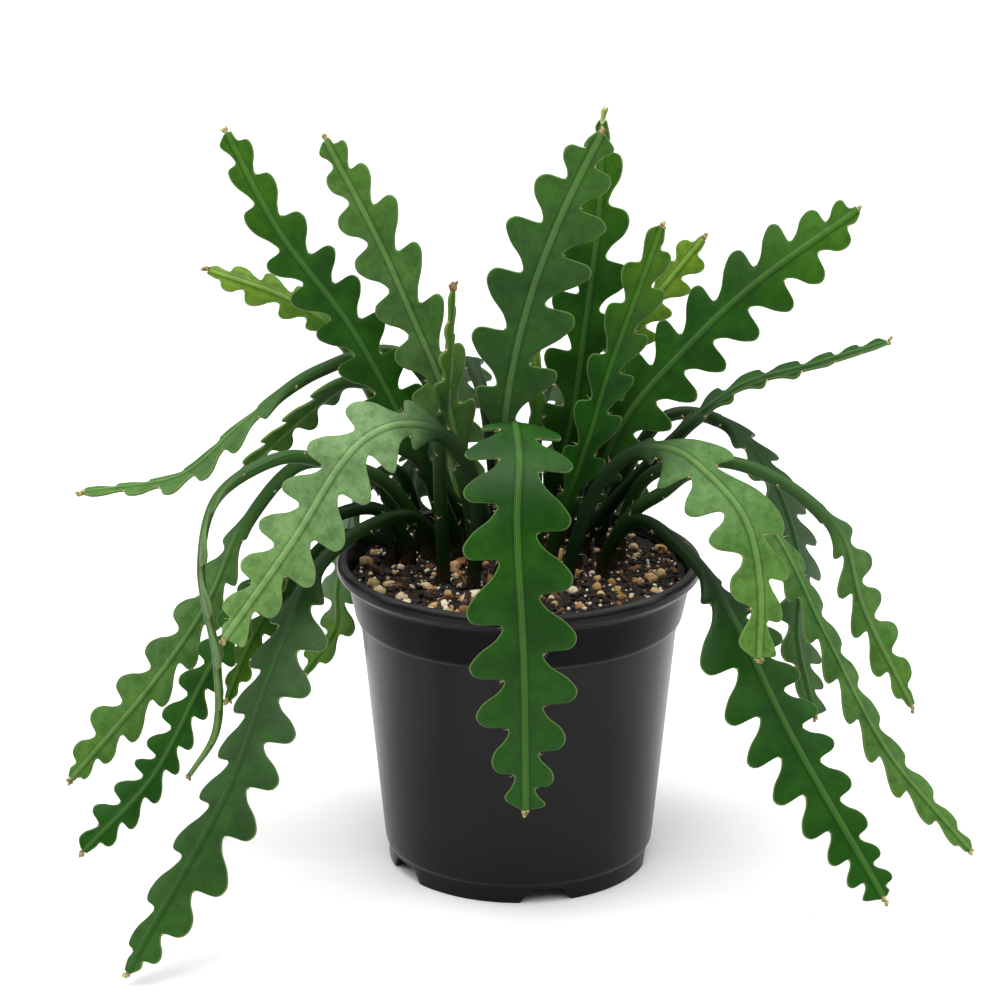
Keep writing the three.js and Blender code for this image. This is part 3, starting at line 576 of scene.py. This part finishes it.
def stemMesh(stem, seed):
    rows = stem.rows()
    inner, outer = growth["columns"], growth["outerShares"]
    perSide = len(inner) + len(outer) - 1
    half = growth["stalkHalf"]
    grid = np.zeros((3, len(rows), 2 * perSide + 1, 3))
    keys = ("ribDistance", "rimDistance", "tipDistance", "footDistance", "bladeShare")
    maps = {k: np.zeros((len(rows), 2 * perSide + 1)) for k in keys}
    notchPlaces = []
    ribScale = 23 / (9 + 0.3 * sum(stem.halves))
    rnd = random.Random(seed)
    for flank, sign in ((0, 1), (1, -1)):
        edgeAlong, edgeWidth, notches = stem.edge(flank, sign, rows)
        wave = np.array([rnd.uniform(-1, 1) for _ in range(60)])
        ripple = np.interp((stem.length - rows) / stem.pitch % 50, np.arange(60), wave)
        for column in range(perSide + 1):
            if column < len(inner):
                across = np.minimum(inner[column], edgeWidth * column / (len(inner) + 1))
            else:
                share = outer[column - len(inner)]
                base = np.minimum(inner[-1], edgeWidth * (len(inner) - 1) / (len(inner) + 1))
                across = base + (edgeWidth - base) * share
            share = across / edgeWidth
            along = rows + (edgeAlong - rows) * share
            centre, _, normal, side = stem.frameAt(along)
            spread = stem.halves[flank] - half
            cup = -growth["marginDroop"] * np.clip((across - half) / spread, 0, 2) ** 2
            cup += growth["marginRipple"] * ripple * np.clip((across - half) / spread, 0, 1) ** 2
            depth = ribAndBlade(stem, along, across, edgeWidth)
            spot = perSide + sign * column
            middle = centre + side * (sign * across)[:, None]
            grid[0, :, spot] = middle + normal * (cup + depth)[:, None]
            grid[2, :, spot] = middle + normal * (cup - depth)[:, None]
            rim = middle + normal * cup[:, None]
            if column == perSide:
                rim = rim + side * (sign * growth["rimBulge"])
            grid[1, :, spot] = rim
            maps["ribDistance"][:, spot] = across * ribScale
            maps["rimDistance"][:, spot] = edgeWidth - across
            maps["tipDistance"][:, spot] = stem.length - along
            maps["footDistance"][:, spot] = along - growth["sunk"]
            maps["bladeShare"][:, spot] = ease((along - stem.start - 6) / 32)
        for along, width in notches:
            notchPlaces.append((along, width, sign))
    return rows, grid, maps, notchPlaces


def paint(verts, index):
    for face in {f for v in verts for f in v.link_faces}:
        face.material_index = index


def lump(bm, place, axis, length, width, index, finer):
    # a small egg standing along an axis
    turn = Vector(axis).to_track_quat("Z", "Y").to_matrix().to_4x4()
    size = Matrix.Diagonal((width, width, length, 1))
    made = bmesh.ops.create_icosphere(
        bm, subdivisions=finer, radius=0.5, matrix=Matrix.Translation(place) @ turn @ size)
    paint(made["verts"], index)


def bristle(bm, root, axis, length, radius, index):
    turn = Vector(axis).to_track_quat("Z", "Y").to_matrix().to_4x4()
    middle = Vector(root) + Vector(axis).normalized() * length / 2
    made = bmesh.ops.create_cone(
        bm, cap_ends=True, segments=3, radius1=radius, radius2=radius * 0.25, depth=length,
        matrix=Matrix.Translation(middle) @ turn)
    paint(made["verts"], index)


def tuft(bm, place, axis, size, rnd):
    # the woolly dot in a notch with a few short hairs
    lump(bm, place, axis, size, size * 1.1, 1, 1)
    for _ in range(rnd.choice((2, 3, 3, 4))):
        lean = Vector([rnd.gauss(0, 0.5) for _ in range(3)])
        bristle(bm, place, Vector(axis) + lean, rnd.uniform(1.4, 3.0) * mm, 0.11 * mm, 1)


def bud(bm, place, axis, style, rnd):
    # the crusty growing point: small scales pressed together and a brush of hairs
    shape = budStyles[style]
    axis = Vector(axis).normalized()
    for _ in range(shape["scales"]):
        lean = Vector([rnd.gauss(0, shape["splay"]) for _ in range(3)])
        length = rnd.uniform(*shape["length"]) * mm
        root = Vector(place) + lean * 1.2 * mm + axis * rnd.uniform(-1.0, 1.0) * mm
        lump(bm, root + axis * length * 0.3, axis + lean, length, rnd.uniform(*shape["width"]) * mm, 2, 2)
    for _ in range(shape["hairs"]):
        lean = Vector([rnd.gauss(0, 0.6) for _ in range(3)])
        bristle(bm, place, axis + lean, rnd.uniform(2.0, 3.6) * mm, 0.1 * mm, 1)


budStyles = {
    "crust": {"scales": 7, "splay": 0.45, "length": (2.0, 3.2), "width": (1.3, 2.0), "hairs": 8},
    "fingers": {"scales": 7, "splay": 0.25, "length": (6.0, 9.5), "width": (1.8, 2.6), "hairs": 6},
    "red": {"scales": 8, "splay": 0.3, "length": (2.5, 4.5), "width": (1.4, 2.2), "hairs": 10},
}


def growStem(values, index):
    stem = Stem(values)
    rows, grid, maps, notchPlaces = stemMesh(stem, growth["rippleSeed"] + index)
    columns, last = grid.shape[2] - 1, len(rows) - 1
    bm = slab(columns, last)
    layers = {key: bm.verts.layers.float.new(key) for key in maps}
    for v in bm.verts:
        column, row = round((v.co.x + 1) / 2 * columns), round((v.co.y + 1) / 2 * last)
        level = round(abs(v.co.z) * 2)
        v.co = grid[level, row, column] * mm
        for key, layer in layers.items():
            v[layer] = maps[key][row, column]
    bmesh.ops.recalc_face_normals(bm, faces=bm.faces[:])
    rnd = random.Random(growth["tuftSeed"] + index)
    for along, width, sign in notchPlaces:
        spread = stem.halves[0 if sign > 0 else 1] - growth["stalkHalf"]
        centre, tangent, normal, side = [a[0] for a in stem.frameAt(np.array([float(along)]))]
        cup = -growth["marginDroop"] * max(0, (width - growth["stalkHalf"]) / spread) ** 2
        place = (centre + side * sign * (width + 0.15) + normal * cup) * mm
        tuft(bm, place, side * sign + tangent * 0.5, rnd.uniform(0.8, 1.2) * mm, rnd)
    sign = 1
    for along in np.arange(growth["tuftsFrom"], stem.start - 4, growth["tuftStep"]):
        centre, tangent, normal, side = [a[0] for a in stem.frameAt(np.array([along]))]
        place = (centre + side * sign * 3.05) * mm
        tuft(bm, place, side * sign + tangent * 0.6, rnd.uniform(0.8, 1.1) * mm, rnd)
        sign = -sign
    centre, tangent, normal, side = [a[0] for a in stem.frameAt(np.array([stem.length]))]
    bud(bm, centre * mm, tangent, values.get("bud", "crust"), rnd)
    return bm


def tint(red, green, blue):
    return tuple(((c / 255 + 0.055) / 1.055) ** 2.4 if c > 10 else c / 255 / 12.92
                 for c in (red, green, blue))


# each class gives deep and fresh greens, a tip, a rib and a stalk green; the stalk greens are the stalks'
# own dark green, darkened further as painted shade among the stems
leafTints = {
    "deep": {
        "deep": (18, 58, 2), "fresh": (30, 76, 6), "tip": (64, 108, 16),
        "rib": (74, 118, 46), "stalk": (16, 42, 10),
    },
    "mid": {
        "deep": (15, 58, 0), "fresh": (28, 73, 5), "tip": (24, 74, 0),
        "rib": (84, 126, 52), "stalk": (18, 44, 12),
    },
    "dusk": {
        "deep": (32, 70, 18), "fresh": (46, 86, 28), "tip": (62, 106, 30),
        "rib": (104, 142, 80), "stalk": (20, 44, 14),
    },
    "cool": {
        "deep": (26, 58, 14), "fresh": (38, 72, 24), "tip": (50, 92, 26),
        "rib": (40, 76, 24), "stalk": (26, 52, 18),
    },
    "pale": {
        "deep": (62, 100, 42), "fresh": (82, 120, 58), "tip": (84, 124, 40),
        "rib": (116, 152, 80), "stalk": (20, 44, 14),
    },
    # a greyer, paler copy of the pale tint: painted sheen for a stem that gets less light
    "frost": {
        "deep": (84, 116, 66), "fresh": (106, 138, 86), "tip": (96, 134, 56),
        "rib": (134, 166, 104), "stalk": (20, 44, 14),
    },
    "arch": {
        "deep": (52, 88, 34), "fresh": (70, 106, 46), "tip": (74, 116, 34),
        "rib": (112, 146, 80), "stalk": (48, 80, 34),
    },
    "bright": {
        "deep": (12, 58, 0), "fresh": (26, 80, 2), "tip": (78, 118, 8),
        "rib": (76, 126, 34), "stalk": (26, 62, 6),
    },
    "lime": {
        "deep": (64, 106, 22), "fresh": (84, 126, 34), "tip": (110, 140, 36),
        "rib": (136, 172, 84), "stalk": (46, 82, 20),
    },
}


skin = {
    "scales": (48, 210, 850),
    "pimples": 240,
    "tipReach": (4, 75),
    # how far above the foot the painted shade among the stalks fades out
    "heartShadeReach": (20, 95),
    # painted shade in the grooves beside the rib: where it starts, peaks and ends, in rib distance
    "grooveShadeReach": (1.2, 1.7, 3.2),
    "stripes": 7.4,
    "cloud": (14, 44, 8),
    "speck": (12, 36, 8),
    # colour of the painted shade beside the rib
    "groove": (12, 40, 8),
    # colour of the painted highlight along the lobe margins
    "marginHighlight": (120, 142, 82),
    # colour of the painted shade low down among the stalks
    "heartShade": (4, 18, 2),
    # corky brown, darkened as painted shade low among the stems
    "bark": ((26, 20, 12), (54, 43, 27)),
}


def leafMaterial(name, values):
    # mottled green with a lined rib, painted shade in the grooves beside it, painted sheen towards the lobe
    # edges and a painted highlight along the margins; dark green stalks and a corky foot, both darkened by
    # painted shade low down among the stems
    shade = Shade(name)
    colours = {key: tint(*value) for key, value in values.items()}
    rib, rim, tip, foot = [shade.attribute(k + "Distance") for k in ("rib", "rim", "tip", "foot")]
    bladed = shade.attribute("bladeShare")
    large, medium, small = skin["scales"]
    broad, middling, fine = shade.noise(large, 2), shade.noise(medium), shade.noise(small)
    colour = shade.mix(broad.step(0.36, 0.64), colours["deep"], colours["fresh"])
    colour = shade.mix((1 - tip.step(*skin["tipReach"])) * 0.7, colour, colours["tip"])
    # painted sheen: paler within 6 mm of the lobe edges
    colour = shade.mix((1 - rim.step(0, 6)) * 0.3, colour, colours["fresh"])
    colour = shade.mix(fine.step(0.5, 0.75) * 0.35, colour, colours["fresh"])
    colour = shade.mix(middling.step(0.42, 0.66) * 0.3, colour, tint(*skin["cloud"]))
    colour = shade.mix((1 - fine.step(0.25, 0.48)) * 0.35, colour, tint(*skin["speck"]))
    # painted shade: darker in the grooves on each side of the rib
    near, middle, far = skin["grooveShadeReach"]
    groove = rib.step(near, middle) * (1 - rib.step(middle, far))
    colour = shade.mix(groove * 0.45, colour, tint(*skin["groove"]))
    stripe = (rib * skin["stripes"]).math("COSINE") * -0.5 + 0.5
    colour = shade.mix((1 - rib.step(1.1, 1.5)) * (0.06 + stripe * 0.5), colour, colours["rib"])
    # painted highlight: a pale line along the lobe margins
    colour = shade.mix((1 - rim.step(0.15, 0.5)) * 0.35, colour, tint(*skin["marginHighlight"]))
    # the stalks' own dark green, darker still as painted shade among the stems
    colour = shade.mix(1 - bladed, colour, colours["stalk"])
    # painted shade: very dark low down among the stalks, fading out above
    raised = foot.step(*skin["heartShadeReach"])
    colour = shade.mix((1 - raised) * 0.75, colour, tint(*skin["heartShade"]))
    # corky bark at the foot, its colour darkened as painted shade
    bark = (1 - (foot + broad * 12).step(10, 24)) * 0.85
    barkColour = shade.mix(fine.step(0.35, 0.65), *[tint(*colour) for colour in skin["bark"]])
    shade.feed("Base Color", shade.mix(bark, colour, barkColour))
    shade.feed("Roughness", 0.38 + broad * 0.14 + bark * 0.3)
    shade.bump(fine * 0.6 + shade.noise(skin["pimples"], 2) * 0.8, 0.00022, 0.5)
    shade.feed("Specular IOR Level", raised * 0.1 + 0.05)
    return shade.material


def woolMaterial():
    shade = Shade("areoleWool", 0.85)
    shade.feed("Base Color", shade.mix(
        shade.noise(900, 2).step(0.35, 0.65), tint(150, 120, 84), tint(214, 198, 158)))
    return shade.material


def budMaterial(name, dark, light):
    shade = Shade(name, 0.6)
    grain = shade.noise(700)
    shade.feed("Base Color", shade.mix(grain.step(0.36, 0.6), tint(*dark), tint(*light)))
    shade.bump(grain, 0.0002, 0.6)
    return shade.material


def makeStems():
    leaves = {name: leafMaterial("leaf" + name.capitalize(), values) for name, values in leafTints.items()}
    wool = woolMaterial()
    buds = {
        "crust": budMaterial("budCrust", (84, 74, 34), (170, 158, 96)),
        "fingers": budMaterial("budPale", (110, 124, 58), (176, 182, 112)),
        "red": budMaterial("budRed", (84, 52, 24), (128, 96, 48)),
    }
    for index, (name, values) in enumerate(stems.items()):
        bm = growStem(values, index)
        materials = [leaves[values["tint"]], wool, buds[values.get("bud", "crust")]]
        finish(bm, "fine_" + name, materials, [name])
    print("stems grown:", len(stems))


makeStems()

pot = {
    "sectors": 300,
    "outside": (
        (0, 8, 0), (57, 8, 0.4), (57, 0, 0.5), (59.8, 0, 0.6), (60.2, 8, 0.4), (61.4, 10, 0.6),
        (61.8, 13, 0.6), (72, 116.2, 0.5), (73.5, 117, 0.4), (74.3, 118.8, 0.6), (77.3, 133, 0.6),
        (78, 135.6, 0.7), (79.6, 137.4, 0.5), (81.3, 138.2, 0.3), (82.5, 139.4, 0.8),
        (82.5, 142.4, 0.9), (81.7, 143.5, 0.5), (80.3, 144, 0.6), (78.4, 144, 0.3),
    ),
    "inside": (
        (77.4, 143.2, 0.3), (75.8, 133, 0.8), (72.4, 120.5, 0.6), (70.2, 117.5, 0.6),
        (60, 13.5, 0.8), (58.6, 11, 0.5), (0, 11, 0),
    ),
    "notchCount": 5,
    "firstNotch": -78,
    "notchOffsets": (0, 6.4, 8.2, 11, 11.9, 100),
    "notchHeights": (6.5, 6.5, 5.5, 1.2, 0, 0),
    "floor": 8,
    "skirt": (56.5, 60.4),
    "collar": (116.8, 118.6, 135.5, 137.4),
    # heights of the edges that carry a painted highlight line
    "paintedHighlightLevels": (116.9, 137.6, 144),
    "plastic": ((8, 8, 9), (12, 12, 13)),
    # colour of the painted highlight lines
    "paintedHighlightColour": (64, 65, 64),
    "dustColour": (74, 71, 66),
}


def filleted(corners, steps=4):
    # the profile with each corner rounded by its own small reach
    points = []
    for i, (r, z, reach) in enumerate(corners):
        here = Vector((r, 0, z))
        if reach == 0 or i in (0, len(corners) - 1):
            points.append(here)
            continue
        before, after = [Vector((corners[k][0], 0, corners[k][1])) for k in (i - 1, i + 1)]
        inward = (before - here).normalized() * min(reach, (before - here).length * 0.45)
        outward = (after - here).normalized() * min(reach, (after - here).length * 0.45)
        for k in range(steps + 1):
            t = k / steps
            points.append(here + inward * (1 - t) ** 2 + outward * t * t)
    return points


def turn(bm, points, sectors):
    # spins a profile round the Z axis into a closed shell
    verts = [bm.verts.new(p * mm) for p in points]
    edges = [bm.edges.new(pair) for pair in zip(verts, verts[1:])]
    bmesh.ops.spin(bm, geom=verts + edges, cent=(0, 0, 0), axis=(0, 0, 1), angle=2 * math.pi,
                   steps=sectors, use_merge=True)
    bmesh.ops.remove_doubles(bm, verts=bm.verts[:], dist=0.005 * mm)
    bmesh.ops.recalc_face_normals(bm, faces=bm.faces[:])


def cutNotches(bm):
    low, high = pot["skirt"]
    for v in bm.verts:
        radius, height = math.hypot(v.co.x, v.co.y) / mm, v.co.z / mm
        if low < radius < high and height < pot["floor"] - 0.6:
            degrees = math.degrees(math.atan2(v.co.y, v.co.x)) - pot["firstNotch"]
            spacing = 360 / pot["notchCount"]
            away = abs((degrees + spacing / 2) % spacing - spacing / 2)
            lift = float(np.interp(math.radians(away) * 60, pot["notchOffsets"], pot["notchHeights"]))
            v.co.z = (lift + height * (pot["floor"] - lift) / pot["floor"]) * mm


def plasticMaterial():
    # black plastic with painted highlight lines along its edges and a duller collar
    shade = Shade("blackPlastic")
    grain = shade.noise(1400, 2)
    cloud = shade.noise(22)
    dust = shade.noise(520).step(0.62, 0.78)
    colour = shade.mix(cloud.step(0.35, 0.7), *[tint(*colour) for colour in pot["plastic"]])
    height = shade.node("ShaderNodeSeparateXYZ", {}, [shade.place], "Z") * (1 / mm)
    collar = height.step(*pot["collar"][:2]) * (1 - height.step(*pot["collar"][2:]))
    # painted highlight: a thin pale line along each of these edges
    for level in pot["paintedHighlightLevels"]:
        line = 1 - (height + -level).math("ABSOLUTE").step(0.12, 0.55)
        colour = shade.mix(line * 0.6, colour, tint(*pot["paintedHighlightColour"]))
    shade.feed("Base Color", shade.mix(dust * 0.1, colour, tint(*pot["dustColour"])))
    shade.feed("Specular IOR Level", collar * -0.1 + 0.16)
    shade.feed("Roughness", 0.24 + cloud * 0.1 + dust * 0.15)
    shade.bump(grain + shade.noise(60, 2) * 1.5, 0.00008, 0.5)
    return shade.material


def makePot():
    bm = bmesh.new()
    turn(bm, filleted(pot["outside"] + pot["inside"]), pot["sectors"])
    cutNotches(bm)
    finish(bm, "fine_pot", [plasticMaterial()], ["pot"])
    print("pot turned")


makePot()

mixture = {
    "sectors": 220,
    "rings": 62,
    "radius": 75.75,
    "side": ((74.6, 133), (71.8, 120.6), (69.5, 117.6), (59.6, 13.9), (58.3, 11.5), (0, 11.5)),
    "topFrom": 135.5,
    "stoneReach": 74.6,
    "chipReach": 73,
    "fibreReach": 68,
    "relief": 0.96,
    "mound": 1.4,
    "moundReach": 75.8,
    "crumb": 1.5,
    "pumice": 300,
    "beads": 420,
    "crumbs": 1500,
    "grit": 1800,
    "bark": 200,
    "fibres": 150,
}


def soilLevel(x, y):
    waves = (math.sin(0.13 * x + 1.1) * math.cos(0.11 * y - 0.4)
             + 0.6 * math.sin(0.31 * x - 0.23 * y) + 0.4 * math.cos(0.37 * y + 0.19 * x + 2))
    mound = mixture["mound"] * math.cos(math.hypot(x, y) / mixture["moundReach"] * math.pi / 2)
    return growth["soilHeight"] + mixture["relief"] * waves + mound


def soilMaterial():
    shade = Shade("darkPeat", 0.9)
    coarse = shade.noise(160, 4, 0.65)
    fine = shade.noise(620, 4, 0.7)
    colour = shade.mix(coarse.step(0.35, 0.65), tint(9, 6, 5), tint(30, 21, 15))
    colour = shade.mix(fine.step(0.55, 0.75) * 0.6, colour, tint(58, 41, 28))
    shade.feed("Base Color", colour)
    shade.feed("Roughness", 0.78 + fine * 0.2)
    shade.bump(fine + coarse * 1.4, 0.0012, 0.9)
    return shade.material


def toneMaterial(name, stops, grainScale, depth):
    # loose pieces coloured by their own tone, with a fine grain over it
    shade = Shade(name, 0.85)
    tone = shade.attribute("tone")
    grain = shade.noise(grainScale, 4, 0.65)
    stops = [(place, tint(*colour)) for place, colour in stops]
    colour = shade.node("ShaderNodeValToRGB", {"stops": stops}, [tone + (grain - 0.5) * 0.25], "Color")
    colour = shade.mix((1 - grain.step(0.3, 0.52)) * 0.5, colour, tint(72, 50, 32))
    shade.feed("Base Color", colour)
    shade.bump(grain, depth, 0.8)
    return shade.material


def freeSpot(rnd, reach, clearance):
    # a place on the mix that no stalk stands in
    while True:
        radius, angle = reach * math.sqrt(rnd.random()), 2 * math.pi * rnd.random()
        x, y = radius * math.cos(angle), radius * math.sin(angle)
        if all(math.hypot(x - v["path"][0][0], y - v["path"][0][1]) > clearance for v in stems.values()):
            return x, y


def stone(bm, tone, rnd, size, flat, finer, sink, rough=0.22):
    x, y = freeSpot(rnd, mixture["stoneReach"] - size * 0.5, 3.4 + size * 0.35)
    made = bmesh.ops.create_icosphere(bm, subdivisions=finer, radius=0.5)
    scale = Vector((rnd.uniform(0.75, 1.2), rnd.uniform(0.75, 1.2), rnd.uniform(flat, 1.0))) * size * mm
    turned = Matrix.Rotation(rnd.uniform(0, 6.28), 3, "Z") @ Matrix.Rotation(rnd.uniform(-0.7, 0.7), 3, "X")
    centre = Vector((x, y, soilLevel(x, y) + size * sink)) * mm
    offset = Vector([rnd.uniform(0, 90) for _ in range(3)])
    shadeTone = rnd.random()
    for v in made["verts"]:
        bulge = 1 + rough * noise.noise(v.co * 4.2 + offset) * 2
        v.co = turned @ Vector((v.co.x * scale.x, v.co.y * scale.y, v.co.z * scale.z)) * bulge + centre
        v[tone] = shadeTone


def chip(bm, tone, rnd, length):
    x, y = freeSpot(rnd, mixture["chipReach"] - length * 0.4, 3.6 + length * 0.25)
    before = len(bm.verts)
    made = bmesh.ops.create_cube(bm, size=1)
    edges = list({e for v in made["verts"] for e in v.link_edges})
    bmesh.ops.subdivide_edges(bm, edges=edges, cuts=2, use_grid_fill=True)
    bm.verts.ensure_lookup_table()
    size = Vector((length, length * rnd.uniform(0.3, 0.6), length * rnd.uniform(0.12, 0.28))) * mm
    turned = Matrix.Rotation(rnd.uniform(0, 6.28), 3, "Z") @ Matrix.Rotation(rnd.gauss(0, 0.45), 3, "Y")
    turned = turned @ Matrix.Rotation(rnd.gauss(0, 0.5), 3, "X")
    centre = Vector((x, y, soilLevel(x, y) + rnd.uniform(0.6, 1.9))) * mm
    offset = Vector([rnd.uniform(0, 90) for _ in range(3)])
    shadeTone = rnd.random()
    for v in bm.verts[before:]:
        taper = 1 - 0.5 * abs(v.co.x) * 1.4
        rough = Vector([noise.noise(v.co * 2.4 + offset + Vector((k * 7, 0, 0))) * 0.34 for k in range(3)])
        p = Vector((v.co.x, v.co.y * taper, v.co.z)) + rough
        v.co = turned @ Vector((p.x * size.x, p.y * size.y, p.z * size.z)) + centre
        v[tone] = shadeTone


def fibre(bm, tone, rnd):
    x, y = freeSpot(rnd, mixture["fibreReach"], 4)
    length, radius = rnd.uniform(6, 16), rnd.uniform(0.14, 0.32)
    before = len(bm.verts)
    made = bmesh.ops.create_cone(bm, cap_ends=True, segments=4, radius1=1, radius2=1, depth=2)
    long = [e for e in {e for v in made["verts"] for e in v.link_edges}
            if abs(e.verts[0].co.z - e.verts[1].co.z) > 1]
    bmesh.ops.subdivide_edges(bm, edges=long, cuts=5)
    bm.verts.ensure_lookup_table()
    heading, bend = rnd.uniform(0, 6.28), rnd.gauss(0, 0.9)
    rise = rnd.uniform(0.5, 2.6)
    shadeTone = rnd.random()
    for v in bm.verts[before:]:
        t = v.co.z * 0.5
        angle = heading + bend * t
        cx, cy = x + math.cos(angle) * t * length, y + math.sin(angle) * t * length
        cz = soilLevel(cx, cy) + 0.7 + rise * (1 - 4 * t * t) * 0.8
        thin = radius * (1 - 0.6 * abs(v.co.z))
        side = Vector((-math.sin(angle), math.cos(angle), 0))
        v.co = (Vector((cx, cy, cz)) + side * v.co.x * thin + Vector((0, 0, 1)) * v.co.y * thin) * mm
        v[tone] = shadeTone


def scatter(name, count, seed, make, material):
    bm = bmesh.new()
    tone = bm.verts.layers.float.new("tone")
    rnd = random.Random(seed)
    for _ in range(count):
        make(bm, tone, rnd)
    bmesh.ops.recalc_face_normals(bm, faces=bm.faces[:])
    finish(bm, name, [material])


def makeSoil():
    bm = bmesh.new()
    reach = [mixture["radius"] * math.sqrt(k / mixture["rings"]) for k in range(mixture["rings"] + 1)]
    profile = [(r, growth["soilHeight"]) for r in reach] + list(mixture["side"])
    turn(bm, [Vector((r, 0, z)) for r, z in profile], mixture["sectors"])
    for v in bm.verts:
        if v.co.z > mixture["topFrom"] * mm:
            x, y = v.co.x / mm, v.co.y / mm
            crumb = noise.noise(Vector((x, y, 3)) * 0.28) + 0.7 * noise.noise(Vector((x, y, 9)) * 0.62)
            v.co.z = (soilLevel(x, y) + mixture["crumb"] * crumb) * mm
    finish(bm, "fine_soil", [soilMaterial()], ["soil"])
    pale = ((0, (128, 84, 40)), (0.3, (172, 134, 78)), (0.6, (196, 166, 120)), (1, (218, 204, 176)))
    bark = ((0, (16, 10, 6)), (0.6, (40, 26, 16)), (0.86, (84, 54, 28)), (1, (138, 92, 46)))
    dark = ((0, (8, 6, 5)), (0.6, (24, 17, 12)), (1, (48, 34, 23)))
    scatter("peat_crumbs", mixture["crumbs"], 11,
            lambda bm, tone, rnd: stone(bm, tone, rnd, rnd.uniform(1.2, 3.8), 0.6, 1, 0.15, 0.4),
            toneMaterial("peatCrumb", dark, 900, 0.0006))
    scatter("brown_grit", mixture["grit"], 16,
            lambda bm, tone, rnd: stone(bm, tone, rnd, rnd.uniform(0.6, 1.8), 0.6, 1, 0.45, 0.4),
            toneMaterial("brownGrit", bark, 900, 0.0004))
    scatter("bark_chips", mixture["bark"], 12,
            lambda bm, tone, rnd: chip(bm, tone, rnd, 2.5 + 6 * rnd.random() ** 1.6),
            toneMaterial("barkChip", bark, 420, 0.0007))
    scatter("pumice_grains", mixture["pumice"], 13,
            lambda bm, tone, rnd: stone(bm, tone, rnd, 1.7 + 4.6 * rnd.random() ** 2, 0.65, 2, 0.22),
            toneMaterial("pumice", pale, 760, 0.0005))
    scatter("perlite_beads", mixture["beads"], 14,
            lambda bm, tone, rnd: stone(bm, tone, rnd, rnd.uniform(0.9, 2.2), 0.8, 1, 0.3, 0.12),
            toneMaterial("perlite", ((0, (214, 200, 168)), (1, (244, 242, 232))), 900, 0.0003))
    scatter("root_fibres", mixture["fibres"], 15, fibre, toneMaterial("rootFibre", bark, 500, 0.0003))
    print("potting mix laid")


makeSoil()


def makeFloor():
    bm = bmesh.new()
    bmesh.ops.create_grid(bm, x_segments=1, y_segments=1, size=studio["floorSize"] / 2)
    mesh = bpy.data.meshes.new("studioFloor")
    bm.to_mesh(mesh)
    bm.free()
    shade = Shade("paleFloor", 0.9)
    shade.settle(Base_Color=(*studio["floorColour"], 1))
    mesh.materials.append(shade.material)
    floor = bpy.data.objects.new("studioFloor", mesh)
    bpy.context.scene.collection.objects.link(floor)


makeFloor()
